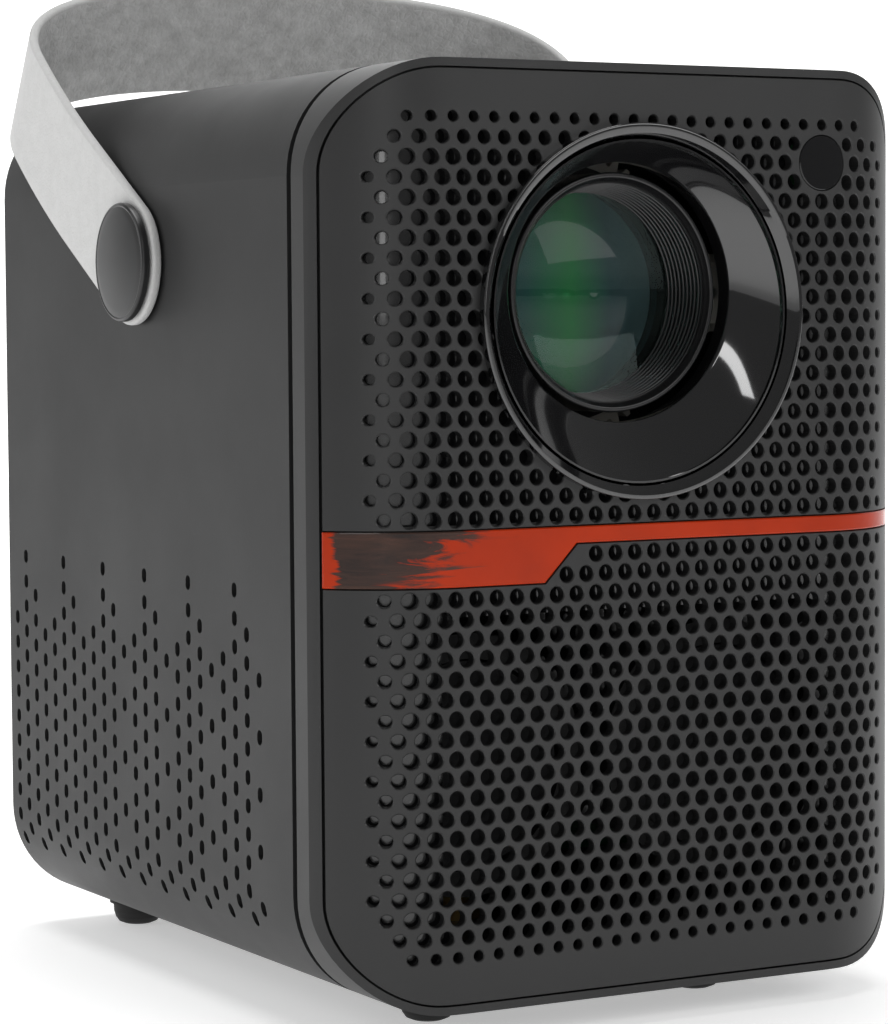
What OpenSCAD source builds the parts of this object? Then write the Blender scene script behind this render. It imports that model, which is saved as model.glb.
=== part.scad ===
// Portable home projector: upright casing, perforated curved front, strap handle,
// single-panel light engine with motor focus. Millimetres, +Z up, front towards -Y.

/* [Casing] */
// Width of the casing, side to side
body_w = 134; // [130:1:140]
// Height of the casing above its feet
body_h = 180; // [178:1:184]
// Depth from the front plane to the rear edge
body_d = 165; // [163:1:170]
// Radius of the four long rounded edges
corner_r = 21.5; // [19:0.5:24]
// Thickness of the moulded wall
wall = 2.5; // [2.2:0.1:3]
// Height of the rubber feet
foot_h = 6.2; // [5:0.1:7]

/* [Front] */
// Half width of the flat middle of the front
flat_half = 40.7; // [38:0.1:42]
// Radius that turns the front back at each side
curve_r = 30.8; // [29:0.1:34]
// Thickness of the perforated panel
panel_t = 2.4; // [2:0.1:2.8]
// Distance between neighbouring grille holes
hole_pitch = 4.4; // [4.2:0.1:4.6]
// Rows of holes above, and again below, the middle
hole_rows = 21; // [18:1:21]

/* [Lens] */
// Height of the bezel ring above the casing's middle
bezel_up = 42.5; // [41:0.1:43]
// Outer radius of the bezel ring
bezel_r = 36.2; // [35.8:0.1:37]
// Height of the lens axis above the bezel ring's centre
lens_up = 3.75; // [3:0.05:4]
// Sideways offset of the lens axis
lens_x = -1.4; // [-2:0.1:2]
// Outer radius of the lens barrel
barrel_r = 23.4; // [23:0.05:23.5]

/* [Strap] */
// Width of the strap
strap_w = 26; // [22:1:28]
// Thickness of the strap
strap_t = 2; // [1.5:0.1:2.5]
// Distance from the studs to the inside of the strap's crown
strap_reach = 91; // [90:0.5:93]
// Lean of the strap behind the vertical
strap_lean = 60; // [30:1:60]

/* [Hidden] */
$fn = 64;

z_mid = foot_h + body_h / 2;
eps = 0.01;
// Facets of the shallow spherical faces
fine = 240;

// Joint between the front frame and the sleeve
frame_end = 19.8;
sleeve_start = 21.6;
rim = 1.6;
seam = 0.3;
neck_end = 30;

// Front grille
row_pitch = hole_pitch * 0.857;
grille_half_w = 13.25 * hole_pitch + 0.5;
grille_half_h = 21 * row_pitch + 0.8;
grille_r = 10;
full_hole = 0.70 * hole_pitch;

// Accent strip, heights above the casing's middle
strip_top = 1.6;
strip_thin = -1.56;
strip_tab = -8.95;
strip_step_low = -23.6;
strip_step_high = -16.5;
strip_t = 1.2;

// Sensor window
sensor_x = 9.25 * hole_pitch;
sensor_up = 19 * row_pitch;
sensor_r = 5.4;

// Lens bezel and barrel, depths behind the front plane
lens_z = z_mid + bezel_up + lens_up;
bezel_proud = 2;
funnel_mouth_r = 35;
mouth_drop = 0.8;
funnel_throat_r = 25.4;
funnel_depth = 8;
spigot_r = 32.7;
spigot_end = 12;
barrel_front = 10.4;
barrel_end = 56;
mount_r = 25.8;
barrel_bore = 21.6;
fit = 0.05;

// Focus gears
gear_m = 1;
ring_teeth = 60;
pinion_teeth = 15;
gear_gap = (ring_teeth + pinion_teeth) * gear_m / 2 + 0.05;
gear_front = 34;
gear_back = 40;

// Light engine, depths behind the front plane
engine_front = 60;
engine_back = 122;
engine_half_w = 46;
engine_half_h = 31;

// Side slots
slot_cols = 24;
slot_step = 5.43;
slot_half_row = 2.8;
slot_last_y = 160.5;
slot_top_z = z_mid - 11.55;
slot_w = 2.2;
slot_h = 3;

// Keys on the top
key_y = 62;
key_pitch = 15;
key_r = 5;
key_proud = 0.7;
deck_w = 80;
deck_d = 22;
deck_r = 10.5;
top_z = foot_h + body_h;

// Strap and studs
pivot_y = 91;
pivot_z = z_mid + 53.3;
strap_gap = 0.35;
strap_in = body_w / 2 + strap_gap;
strap_shoulder = 64;
arch_power = 2.6;
// The crown rises out of the plane of the strap's sides
crown_lift = 8;
lift_start = 30;
shank_r = 3;
cap_r = 12.25;
cap_t = 1.8;

// Rear
cover_front = 161;
cover_back = 164;
board_z = 78;

// The whole assembly stands centred over its own footprint
y_front = -bezel_proud;
y_back = pivot_y + (strap_reach + strap_t) * sin(strap_lean)
  + (strap_w / 2 - lift(strap_reach + strap_t)) * cos(strap_lean);
y_mid = (y_front + y_back) / 2;

module placed() translate([0, -y_mid, 0]) children();

// ---- shared shapes ----

// Rounded rectangle with true arcs, centred
module rounded_rect(w, h, r) {
  square([w - 2 * r, h], center = true);
  square([w, h - 2 * r], center = true);
  for (x = [-1, 1], y = [-1, 1])
    translate([x * (w / 2 - r), y * (h / 2 - r)]) circle(r);
}

// Casing outline seen from the front, moved inwards
module outline(inset) rounded_rect(body_w - 2 * inset, body_h - 2 * inset, corner_r - inset);

// Extrudes a front view from depth y0 to depth y1, centred on height z
module slab(y0, y1, z = z_mid, x = 0)
  translate([x, y1, z]) rotate([90, 0, 0]) linear_extrude(height = y1 - y0) children();

// Everything behind the curved front surface, moved back by depth
module front_form(depth) {
  back = 60;
  half = flat_half + curve_r - depth;
  translate([0, 0, z_mid - body_h]) linear_extrude(height = 2 * body_h) {
    translate([-flat_half, depth]) square([2 * flat_half, back - depth]);
    translate([-half, curve_r]) square([2 * half, back - curve_r]);
    for (s = [-1, 1]) translate([s * flat_half, curve_r]) circle(curve_r - depth);
  }
}

// Sheet that follows the curved front between two depths
module front_sheet(d0, d1) {
  difference() {
    front_form(d0);
    front_form(d1);
  }
}

// Turned part about a front-to-back axis, profile as [radius, depth]
module turned(profile, z = lens_z, x = lens_x)
  translate([x, 0, z]) rotate([-90, 0, 0]) rotate_extrude() polygon(profile);

// Round bar or hole along the depth
module bar_y(r, y0, y1, x, z) translate([x, y0, z]) rotate([-90, 0, 0]) cylinder(r = r, h = y1 - y0);

// Box given by its two corners
module block(a, b) translate(a) cube(b - a);

// Flat board with rounded front view, thickness along the depth
module plate_y(w, h, y0, y1, z, r = 3) slab(y0, y1, z, lens_x) rounded_rect(w, h, r);

// ---- grille rule ----

function hole_x(k, i) = (i - (k % 2 == 0 ? 13.25 : 12.75)) * hole_pitch;
function hole_z(k) = k * row_pitch;
function corner_span(x, z) =
  let (qx = abs(x) - grille_half_w + grille_r, qz = abs(z) - grille_half_h + grille_r)
  grille_r - norm([max(qx, 0), max(qz, 0)]) - min(max(qx, qz), 0);
function hole_d(x, z) = min(full_hole, hole_pitch * (0.45 + 0.036 * corner_span(x, z)));
// Left end of the step of the strip at a height
function step_x(z) = strip_step_low
  + (strip_step_high - strip_step_low) * (z - strip_tab) / (strip_thin - strip_tab);
function on_strip(x, k) = k == 0 || ((k == -1 || k == -2) && x < step_x(hole_z(k)) + 2.6);
function hidden_hole(x, z) = norm([x - lens_x, z - bezel_up]) < bezel_r - 1.2
  || norm([x - sensor_x, z - sensor_up]) < sensor_r + 1.2;

module grille_holes() {
  for (k = [-hole_rows : hole_rows], i = [0 : 26]) {
    x = hole_x(abs(k), i);
    z = hole_z(k);
    if (corner_span(x, z) > 0 && !on_strip(x, k) && !hidden_hole(x, z))
      bar_y(hole_d(x, z) / 2, -1, 24, x, z_mid + z);
  }
}

// Outline of the accent strip grown by g
module strip_shape(g) {
  w = body_w / 2;
  polygon([
    [-w, strip_top + g], [w, strip_top + g], [w, strip_thin - g],
    [strip_step_high + g, strip_thin - g], [strip_step_low + g, strip_tab - g], [-w, strip_tab - g]
  ]);
}

// ---- casing ----

// Slots of one column start on a repeating stagger
function slot_first(c) = [5, 0, 3, 6][c % 4];
function slot_every(c) = (c > 8 && c % 4 == 3) ? 4 : 2;

module side_slots(side) {
  for (c = [0 : slot_cols - 1])
    for (r = [slot_first(c) : slot_every(c) : 23])
      translate([side * (body_w / 2 - 12), slot_last_y - c * slot_step, slot_top_z - r * slot_half_row])
        rotate([0, side * 90, 0]) linear_extrude(height = 14) {
          square([slot_h - slot_w, slot_w], center = true);
          for (e = [-1, 1]) translate([e * (slot_h - slot_w) / 2, 0]) circle(slot_w / 2, $fn = 24);
        }
}

module housing_sleeve() {
  color([0.13, 0.13, 0.135]) difference() {
    union() {
      slab(sleeve_start, body_d) difference() {
        outline(0);
        outline(wall);
      }
      // Ledge that the rear cover screws to
      slab(cover_front - 3, cover_front) difference() {
        outline(wall - 0.2);
        outline(wall + 3);
      }
    }
    for (side = [-1, 1]) side_slots(side);
    // Stud holes
    translate([-body_w, pivot_y, pivot_z]) rotate([0, 90, 0]) cylinder(r = shank_r + 0.1, h = 2 * body_w);
    // Key deck opening
    translate([0, key_y, top_z - wall - 1]) linear_extrude(height = wall + 2) rounded_rect(deck_w + 0.4, deck_d + 0.4, deck_r);
    // Tripod insert and foot holes
    translate([0, body_d / 2, 0]) cylinder(r = 6.05, h = 2 * foot_h);
    for (spot = foot_spots) translate([spot[0], spot[1], 0]) cylinder(r = 2.05, h = foot_h + wall);
    // Rear screw holes in the ledge
    for (x = [-1, 1], z = [-1, 1])
      bar_y(1.3, cover_front - 4, cover_front + 1, x * screw_x, z_mid + z * screw_z);
  }
}

module front_frame() {
  color([0.12, 0.12, 0.125]) difference() {
    union() {
      intersection() {
        slab(-1, frame_end) outline(0);
        front_form(0);
      }
      slab(frame_end - 1, neck_end) outline(wall + 0.1);
      slab(frame_end - 1, sleeve_start) outline(1);
    }
    // Pocket for the panel
    intersection() {
      slab(-2, 40) outline(rim);
      front_sheet(-5, panel_t);
    }
    slab(-2, 40) outline(wall + 2.6);
    // Room for the lens bezel and the motor behind the upper part
    bar_y(spigot_r + 0.4, -3, 20, lens_x, z_mid + bezel_up);
  }
}

module front_panel() {
  color([0.10, 0.10, 0.105]) difference() {
    intersection() {
      slab(-1, 30) outline(rim + seam);
      front_sheet(0, panel_t - 0.05);
    }
    grille_holes();
    intersection() {
      slab(-2, 30) strip_shape(0.2);
      front_sheet(-3, strip_t);
    }
    bar_y(spigot_r + 0.3, -1, 10, lens_x, z_mid + bezel_up);
    bar_y(sensor_r + 0.1, -1, 10, sensor_x, z_mid + sensor_up);
  }
}

module grille_backing() {
  color([0.05, 0.05, 0.055]) difference() {
    intersection() {
      slab(0, 40) outline(wall + 2.9);
      front_sheet(panel_t + 1.4, panel_t + 2.6);
    }
    bar_y(spigot_r + 0.3, -1, 20, lens_x, z_mid + bezel_up);
    bar_y(sensor_r + 0.6, -1, 20, sensor_x, z_mid + sensor_up);
    // Window in front of the speakers
    slab(-1, 20, z_mid - 46) rounded_rect(88, 62, 5);
  }
}

module accent_strip() {
  color([0.78, 0.20, 0.05]) intersection() {
    slab(-2, 30) intersection() {
      strip_shape(0);
      outline(rim + seam);
    }
    front_sheet(-0.15, strip_t - 0.05);
  }
}

module sensor_window() {
  color([0.02, 0.02, 0.025]) intersection() {
    bar_y(sensor_r, -1, 8, sensor_x, z_mid + sensor_up);
    front_sheet(-0.1, panel_t + 1);
  }
}

module sensor_board() {
  color([0.05, 0.25, 0.12]) {
    slab(8, 9.2, z_mid + sensor_up, sensor_x - 2) square([14, 12], center = true);
    bar_y(2.6, 5.4, 8, sensor_x, z_mid + sensor_up);
  }
}

// ---- lens ----

module lens_bezel() {
  color([0.03, 0.03, 0.035]) difference() {
    union() {
      bar_y(bezel_r, -bezel_proud, 0, lens_x, z_mid + bezel_up);
      bar_y(spigot_r, -eps, spigot_end, lens_x, z_mid + bezel_up);
    }
    // Funnel leans up towards the lens
    hull() {
      bar_y(funnel_mouth_r, -bezel_proud - eps, -bezel_proud, lens_x, z_mid + bezel_up - mouth_drop, $fn = 48);
      bar_y(funnel_throat_r, funnel_depth - eps, funnel_depth, lens_x, lens_z, $fn = 48);
    }
    bar_y(funnel_throat_r, 0, spigot_end + 1, lens_x, lens_z);
  }
}

module lens_mount() {
  color([0.07, 0.07, 0.075]) difference() {
    union() {
      turned([[0, 30], [mount_r, 30], [mount_r, gear_back + 0.2], [28.4, gear_back + 0.2], [28.4, 44], [mount_r, 44],
        [mount_r, engine_front - 3], [0, engine_front - 3]]);
      plate_y(70, 56, engine_front - 3, engine_front, lens_z, 6);
    }
    bar_y(barrel_r + fit, 20, engine_front + 1, lens_x, lens_z);
  }
}

module lens_barrel() {
  color([0.05, 0.05, 0.055]) turned([
    [barrel_r - 0.6, barrel_front], [barrel_r, barrel_front + 0.6], [barrel_r, barrel_end], [16, barrel_end],
    [16, 44], [19.5, 44], [19.5, 29], [barrel_bore, 29], [barrel_bore, barrel_front + 1.2],
    [barrel_r - 1.1, barrel_front]
  ]);
}

module lens_retainer() {
  color([0.06, 0.06, 0.065]) turned([
    [barrel_bore - 0.3, barrel_front + 1.6], [barrel_bore - fit, barrel_front + 1.6], [barrel_bore - fit, 22],
    [19.8, 22], [19.8, 20.8]
  ]);
}

// Glass bounded by a front and a rear sphere, edge between two depths
module glass(r, edge_front, edge_back, front_r, rear_r) {
  front_sag = front_r - sqrt(front_r * front_r - r * r);
  rear_sag = rear_r - sqrt(rear_r * rear_r - r * r);
  intersection() {
    bar_y(r, edge_front - front_sag, edge_back + rear_sag, lens_x, lens_z);
    translate([lens_x, edge_front - front_sag + front_r, lens_z]) rotate([90, 0, 0]) sphere(front_r, $fn = fine);
    translate([lens_x, edge_back + rear_sag - rear_r, lens_z]) rotate([90, 0, 0]) sphere(rear_r, $fn = fine);
  }
}

module front_lens() color([0.25, 0.55, 0.50, 0.4]) glass(barrel_bore - 0.1, 23.4, 25.2, 46, 120);
module middle_lens() color([0.55, 0.65, 0.75, 0.4]) glass(19.4, 33, 35, 70, 60);
module rear_lens() color([0.55, 0.65, 0.75, 0.4]) glass(15.9, 48, 50, 60, 45);

// ---- focus gears ----

pressure = 20;
tooth_height = 0.8;
root_depth = 1.1;
backlash = 0.12;
flank_steps = 4;

function base_r(z) = z * gear_m / 2 * cos(pressure);
function involute(a) = tan(a) * 180 / PI - a;
function half_tooth(z, r) = 90 / z + involute(pressure)
  - involute(acos(min(1, base_r(z) / r))) - backlash / 4 / r * 180 / PI;
function flank(z) = let (lo = z * gear_m / 2 - root_depth * gear_m, hi = z * gear_m / 2 + tooth_height * gear_m)
  [for (s = [0 : flank_steps]) lo + (hi - lo) * s / flank_steps];

module gear_shape(z) {
  radii = flank(z);
  polygon([for (t = [0 : z - 1], side = [-1, 1], s = [0 : flank_steps])
    let (r = side < 0 ? radii[s] : radii[flank_steps - s], a = t * 360 / z + side * half_tooth(z, max(r, base_r(z))))
    [r * cos(a), r * sin(a)]]);
}

module focus_ring() {
  color([0.85, 0.85, 0.80]) slab(gear_front, gear_back, lens_z, lens_x) difference() {
    gear_shape(ring_teeth);
    circle(mount_r + fit);
  }
}

module focus_pinion() {
  color([0.90, 0.88, 0.75]) slab(gear_front - 0.5, gear_back + 0.5, lens_z, lens_x + gear_gap) difference() {
    rotate(180 + 180 / pinion_teeth) gear_shape(pinion_teeth);
    circle(1);
  }
}

module focus_motor() {
  color([0.75, 0.75, 0.78]) {
    bar_y(0.95, gear_front - 2, gear_back + 3, lens_x + gear_gap, lens_z);
    bar_y(7, gear_back + 2, gear_back + 16, lens_x + gear_gap, lens_z);
  }
}

// ---- light engine ----

module engine_case() {
  half_in = [engine_half_w - 2, engine_half_h - 2];
  color([0.16, 0.16, 0.17]) difference() {
    slab(engine_front, engine_back, lens_z, lens_x) square([2 * engine_half_w, 2 * engine_half_h], center = true);
    slab(engine_front + 2, engine_back + 1, lens_z, lens_x) square(2 * half_in, center = true);
    bar_y(25, engine_front - 1, engine_front + 3, lens_x, lens_z);
  }
}

module optic_sheet(y, t, w = 87, h = 57) slab(y, y + t, lens_z, lens_x) square([w, h], center = true);

module front_fresnel() color([0.80, 0.85, 0.88, 0.4]) optic_sheet(68, 2);
module lcd_panel() color([0.10, 0.12, 0.20]) optic_sheet(78, 2.6);
module rear_fresnel() color([0.80, 0.85, 0.88, 0.4]) optic_sheet(88, 2);

module condenser_lens() {
  color([0.80, 0.85, 0.88, 0.4]) intersection() {
    bar_y(24, 100, 112, lens_x, lens_z);
    translate([lens_x, 130, lens_z]) sphere(30, $fn = fine);
  }
}

module led_module() {
  color([0.90, 0.85, 0.45]) {
    slab(engine_back, engine_back + 2, lens_z, lens_x) square([44, 44], center = true);
    slab(engine_back - 1.2, engine_back, lens_z, lens_x) square([14, 14], center = true);
  }
}

module heat_sink() {
  fins = 13;
  color([0.70, 0.71, 0.73]) {
    slab(engine_back + 2, engine_back + 6, lens_z, lens_x) square([80, 56], center = true);
    for (i = [0 : fins - 1])
      slab(engine_back + 6, engine_back + 21, lens_z, lens_x + (i - (fins - 1) / 2) * 6.4) square([1.4, 56], center = true);
  }
}

// ---- fans: built about Z, 60 mm square ----

fan_w = 60;
fan_t = 12;
fan_blades = 7;

module fan_frame() {
  linear_extrude(height = fan_t) difference() {
    rounded_rect(fan_w, fan_w, 4);
    circle(27.5);
    for (x = [-1, 1], y = [-1, 1]) translate([x * 25, y * 25]) circle(2);
  }
  // Spider that holds the bearing
  difference() {
    union() {
      cylinder(r = 13, h = 1.5);
      for (a = [0 : 90 : 270]) rotate(a + 45) translate([0, -1, 0]) cube([28, 2, 1.5]);
    }
    translate([0, 0, -1]) cylinder(r = 1.5 + fit, h = 4);
  }
}

module fan_rotor() {
  cylinder(r = 1.5, h = 4);
  translate([0, 0, 2]) cylinder(r = 13, h = 9.4);
  for (i = [0 : fan_blades - 1]) rotate(i * 360 / fan_blades)
    translate([12, 0, 6.7]) rotate([38, 0, 0]) translate([0, -6, -0.6]) cube([14.4, 12, 1.2]);
}

module at_exhaust() translate([lens_x, 158.5, lens_z]) rotate([90, 0, 0]) children();
module at_intake() translate([0, 92, 84]) children();

module exhaust_fan_frame() color([0.06, 0.06, 0.06]) at_exhaust() fan_frame();
module exhaust_fan_rotor() color([0.10, 0.10, 0.10]) at_exhaust() fan_rotor();
module intake_fan_frame() color([0.06, 0.06, 0.06]) at_intake() fan_frame();
module intake_fan_rotor() color([0.10, 0.10, 0.10]) at_intake() fan_rotor();

// ---- sound ----

speaker_x = 29;
speaker_z = z_mid - 46;

module speaker_frames() {
  color([0.20, 0.20, 0.21]) for (x = [-1, 1])
    turned([[21, 21], [26, 21], [26, 24], [16, 36], [13, 36], [13, 34], [21, 24]], speaker_z, x * speaker_x);
}

module speaker_cones() {
  color([0.08, 0.08, 0.085]) for (x = [-1, 1])
    turned([[0, 28.5], [7, 28], [19, 22], [20.5, 22], [20.5, 23], [19.3, 23], [7.4, 29.2], [0, 29.7]],
      speaker_z, x * speaker_x);
}

module speaker_magnets() {
  color([0.35, 0.35, 0.37]) for (x = [-1, 1]) bar_y(15, 36.2, 46, x * speaker_x, speaker_z);
}

// ---- electronics ----

module main_board() {
  color([0.04, 0.22, 0.12]) block([-55, 84, board_z - 1.6], [55, 158, board_z]);
  color([0.10, 0.10, 0.10]) {
    block([-40, 128, board_z - 4.2], [-24, 144, board_z - 1.6]);
    block([6, 126, board_z - 3.8], [20, 138, board_z - 1.6]);
  }
}

module power_board() {
  color([0.05, 0.22, 0.12]) block([-50, 84, 20], [50, 150, 21.6]);
  color([0.85, 0.75, 0.25]) block([-12, 100, 21.6], [14, 124, 44]);
  color([0.15, 0.15, 0.35]) for (x = [-34, 34]) translate([x, 118, 21.6]) cylinder(r = 8, h = 26);
}

port_back = 161.6;
port_mid = board_z + 3.5;

module hdmi_port() {
  color([0.75, 0.76, 0.78]) translate([-26, 0, 0]) difference() {
    block([-8, 149, board_z], [8, port_back, board_z + 6.4]);
    block([-7, 151, board_z + 1], [7, port_back + 1, board_z + 5.4]);
  }
  color([0.05, 0.05, 0.05]) block([-31.5, 151 - eps, board_z + 2.7], [-20.5, 160, board_z + 3.7]);
}

module usb_port() {
  color([0.75, 0.76, 0.78]) translate([-2, 0, 0]) difference() {
    block([-7, 147, board_z], [7, port_back, board_z + 7]);
    block([-6.2, 149, board_z + 0.8], [6.2, port_back + 1, board_z + 6.2]);
  }
  color([0.90, 0.90, 0.90]) block([-7.5, 149 - eps, board_z + 3.9], [3.5, 160, board_z + 5.6]);
}

module audio_jack() {
  color([0.05, 0.05, 0.05]) difference() {
    union() {
      block([14.5, 148, board_z], [21.5, cover_front - 0.2, board_z + 7]);
      bar_y(3.4, cover_front - 1, port_back, 18, port_mid);
    }
    bar_y(1.78, 148 + 2, port_back + 1, 18, port_mid);
  }
}

module power_inlet() {
  color([0.05, 0.05, 0.05]) difference() {
    union() {
      block([30, 147, board_z], [41, cover_front - 0.2, board_z + 10.5]);
      bar_y(5.1, cover_front - 1, port_back, 35.5, board_z + 5.4);
    }
    bar_y(2.85, 151, port_back + 1, 35.5, board_z + 5.4);
  }
  color([0.75, 0.76, 0.78]) bar_y(1, 151 - eps, port_back - 1.5, 35.5, board_z + 5.4);
}

// ---- rear ----

screw_x = 54;
screw_z = 70;

module rear_cover() {
  color([0.11, 0.11, 0.115]) difference() {
    slab(cover_front, cover_back) outline(wall + 0.15);
    // Exhaust holes in rings
    for (ring = [1 : 5], i = [0 : ring * 6 - 1])
      bar_y(1.7, cover_front - 1, cover_back + 1,
        lens_x + ring * 5 * cos(i * 60 / ring), lens_z + ring * 5 * sin(i * 60 / ring));
    bar_y(1.7, cover_front - 1, cover_back + 1, lens_x, lens_z);
    // Intake slots low down
    for (i = [-8 : 8], row = [0, 1])
      translate([i * 5.4, cover_front - 1, 22 + row * 16]) cube([2.2, 5, 11]);
    // Port cut-outs
    block([-34.6, cover_front - 1, board_z - 0.6], [-17.4, cover_back + 1, board_z + 7]);
    block([-9.6, cover_front - 1, board_z - 0.6], [5.6, cover_back + 1, board_z + 7.6]);
    bar_y(4.2, cover_front - 1, cover_back + 1, 18, port_mid);
    bar_y(5.6, cover_front - 1, cover_back + 1, 35.5, board_z + 5.4);
    for (x = [-1, 1], z = [-1, 1])
      bar_y(1.6, cover_front - 1, cover_back + 1, x * screw_x, z_mid + z * screw_z);
  }
}

module rear_screws() {
  color([0.08, 0.08, 0.08]) for (x = [-1, 1], z = [-1, 1])
    difference() {
      union() {
        bar_y(1.25, cover_front - 4, cover_back, x * screw_x, z_mid + z * screw_z);
        bar_y(2.8, cover_back, cover_back + 0.9, x * screw_x, z_mid + z * screw_z);
      }
      slab(cover_back + 0.2, cover_back + 2, z_mid + z * screw_z, x * screw_x) {
        square([3, 0.7], center = true);
        square([0.7, 3], center = true);
      }
    }
}

// ---- keys ----

module key_deck() {
  color([0.03, 0.03, 0.035]) difference() {
    union() {
      translate([0, key_y, top_z - wall]) linear_extrude(height = wall) rounded_rect(deck_w, deck_d, deck_r);
      translate([0, key_y, top_z - wall - 1.2]) linear_extrude(height = 1.2) rounded_rect(deck_w + 6, deck_d + 6, deck_r);
    }
    for (i = [-2 : 2]) {
      translate([i * key_pitch, key_y, top_z - wall - 2]) cylinder(r = key_r + 0.25, h = wall + 3);
      translate([i * key_pitch, key_y, top_z - wall - 2]) cylinder(r = key_r + 1.25, h = 3.2);
    }
  }
}

module key(i) {
  color([0.07, 0.07, 0.075]) translate([i * key_pitch, key_y, 0]) {
    translate([0, 0, top_z - 3.4]) cylinder(r = key_r, h = 3.4 + key_proud);
    translate([0, 0, top_z - 3.4]) cylinder(r = key_r + 0.9, h = 1);
  }
}

module source_key() key(-2);
module minus_key() key(-1);
module power_key() key(0);
module plus_key() key(1);
module menu_key() key(2);

module key_board() {
  color([0.04, 0.22, 0.12]) block([-40, key_y - 8, top_z - 8.6], [40, key_y + 8, top_z - 7]);
  color([0.20, 0.20, 0.20]) for (i = [-2 : 2]) translate([i * key_pitch, key_y, top_z - 7]) {
    translate([-3, -3, 0]) cube([6, 6, 1.8]);
    cylinder(r = 1.6, h = 2.6);
  }
}

// ---- base ----

// Feet: front left, front right, rear left, rear right
foot_spots = [[-35.5, 26], [27, 26], [-42, 152], [42, 152]];
insert_hole = 3.175;

module tripod_insert() {
  color([0.80, 0.65, 0.30]) translate([0, body_d / 2, foot_h]) difference() {
    union() {
      cylinder(r = 6, h = 10);
      translate([0, 0, wall]) cylinder(r = 9, h = 2);
    }
    translate([0, 0, -eps]) cylinder(r = insert_hole, h = 8 + eps);
  }
}

module foot(spot) {
  color([0.03, 0.03, 0.03]) translate([spot[0], spot[1], 0]) {
    rotate_extrude() polygon([
      [0, 0], [3.2, 0], [4.4, 0.5], [5.1, 1.5], [5.5, 2.8], [5.6, foot_h - 1.4], [6.4, foot_h - 1.4],
      [6.4, foot_h], [0, foot_h]
    ]);
    translate([0, 0, foot_h - eps]) cylinder(r = 2, h = wall - 0.2);
  }
}

module foot_front_left() foot(foot_spots[0]);
module foot_front_right() foot(foot_spots[1]);
module foot_rear_left() foot(foot_spots[2]);
module foot_rear_right() foot(foot_spots[3]);

// ---- strap ----

// Half of the path from one stud to the crown: [sideways, along the strap], a superellipse above the shoulder
function half_path(half_w, top, steps = 24) = concat(
  [for (s = [0 : 8]) [half_w, strap_shoulder * s / 8]],
  [for (i = [1 : steps]) let (a = 90 * i / steps)
    [half_w * pow(cos(a), 2 / arch_power), strap_shoulder + (top - strap_shoulder) * pow(sin(a), 2 / arch_power)]]);
function whole_path(half) = concat(half, [for (i = [len(half) - 2 : -1 : 0]) [-half[i][0], half[i][1]]]);
function lift(s) = crown_lift * pow(max(0, s - lift_start) / (strap_reach - lift_start), 2);
// Two edges of the strap along a path
function ribbon(path) = [for (p = path, w = [-1, 1]) [p[0], w * strap_w / 2 - lift(p[1]), p[1]]];

// Closed band between an inner and an outer path
module band(inner, outer) {
  n = len(inner);
  // Corners of section i: inner edges at 2i and 2i + 1, outer edges m higher
  m = 2 * n;
  polyhedron(
    points = concat(ribbon(inner), ribbon(outer)),
    faces = concat(
      [for (i = [0 : n - 2], f = [
        [2 * i, 2 * i + 1, 2 * i + 3], [2 * i, 2 * i + 3, 2 * i + 2],
        [m + 2 * i, m + 2 * i + 3, m + 2 * i + 1], [m + 2 * i, m + 2 * i + 2, m + 2 * i + 3],
        [2 * i, 2 * i + 2, m + 2 * i + 2], [2 * i, m + 2 * i + 2, m + 2 * i],
        [2 * i + 1, m + 2 * i + 3, 2 * i + 3], [2 * i + 1, m + 2 * i + 1, m + 2 * i + 3]
      ]) f],
      [[0, m, m + 1], [0, m + 1, 1],
       [m - 2, m - 1, 2 * m - 1], [m - 2, 2 * m - 1, 2 * m - 2]]
    ));
}

module at_pivot() translate([0, pivot_y, pivot_z]) rotate([-strap_lean, 0, 0]) children();

module strap() {
  color([0.84, 0.83, 0.81]) at_pivot() difference() {
    union() {
      band(whole_path(half_path(strap_in, strap_reach)),
        whole_path(half_path(strap_in + strap_t, strap_reach + strap_t)));
      for (s = [-1, 1]) translate([s * (strap_in + strap_t / 2), 0, 0]) rotate([0, 90, 0])
        cylinder(r = strap_w / 2, h = strap_t, center = true);
    }
    translate([-body_w, 0, 0]) rotate([0, 90, 0]) cylinder(r = shank_r + fit, h = 2 * body_w);
  }
}

module strap_stud(side) {
  cap_in = strap_in + strap_t + strap_gap;
  color([0.03, 0.03, 0.03]) translate([0, pivot_y, pivot_z]) rotate([0, side * 90, 0]) {
    translate([0, 0, body_w / 2 - wall - 4]) cylinder(r = shank_r, h = cap_in + 1 - body_w / 2 + wall + 4);
    intersection() {
      translate([0, 0, cap_in]) cylinder(r = cap_r, h = cap_t + 1);
      translate([0, 0, cap_in + cap_t - 90]) sphere(90.6, $fn = fine);
    }
  }
}

module strap_stud_left() strap_stud(-1);
module strap_stud_right() strap_stud(1);

module strap_nut(side) {
  color([0.70, 0.70, 0.72]) translate([0, pivot_y, pivot_z]) rotate([0, side * 90, 0])
    translate([0, 0, body_w / 2 - wall - 3.2]) difference() {
      cylinder(r = 5.8, h = 3, $fn = 6);
      translate([0, 0, -1]) cylinder(r = shank_r + 0.02, h = 5);
    }
}

module strap_nut_left() strap_nut(-1);
module strap_nut_right() strap_nut(1);

// ---- the assembly ----

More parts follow.
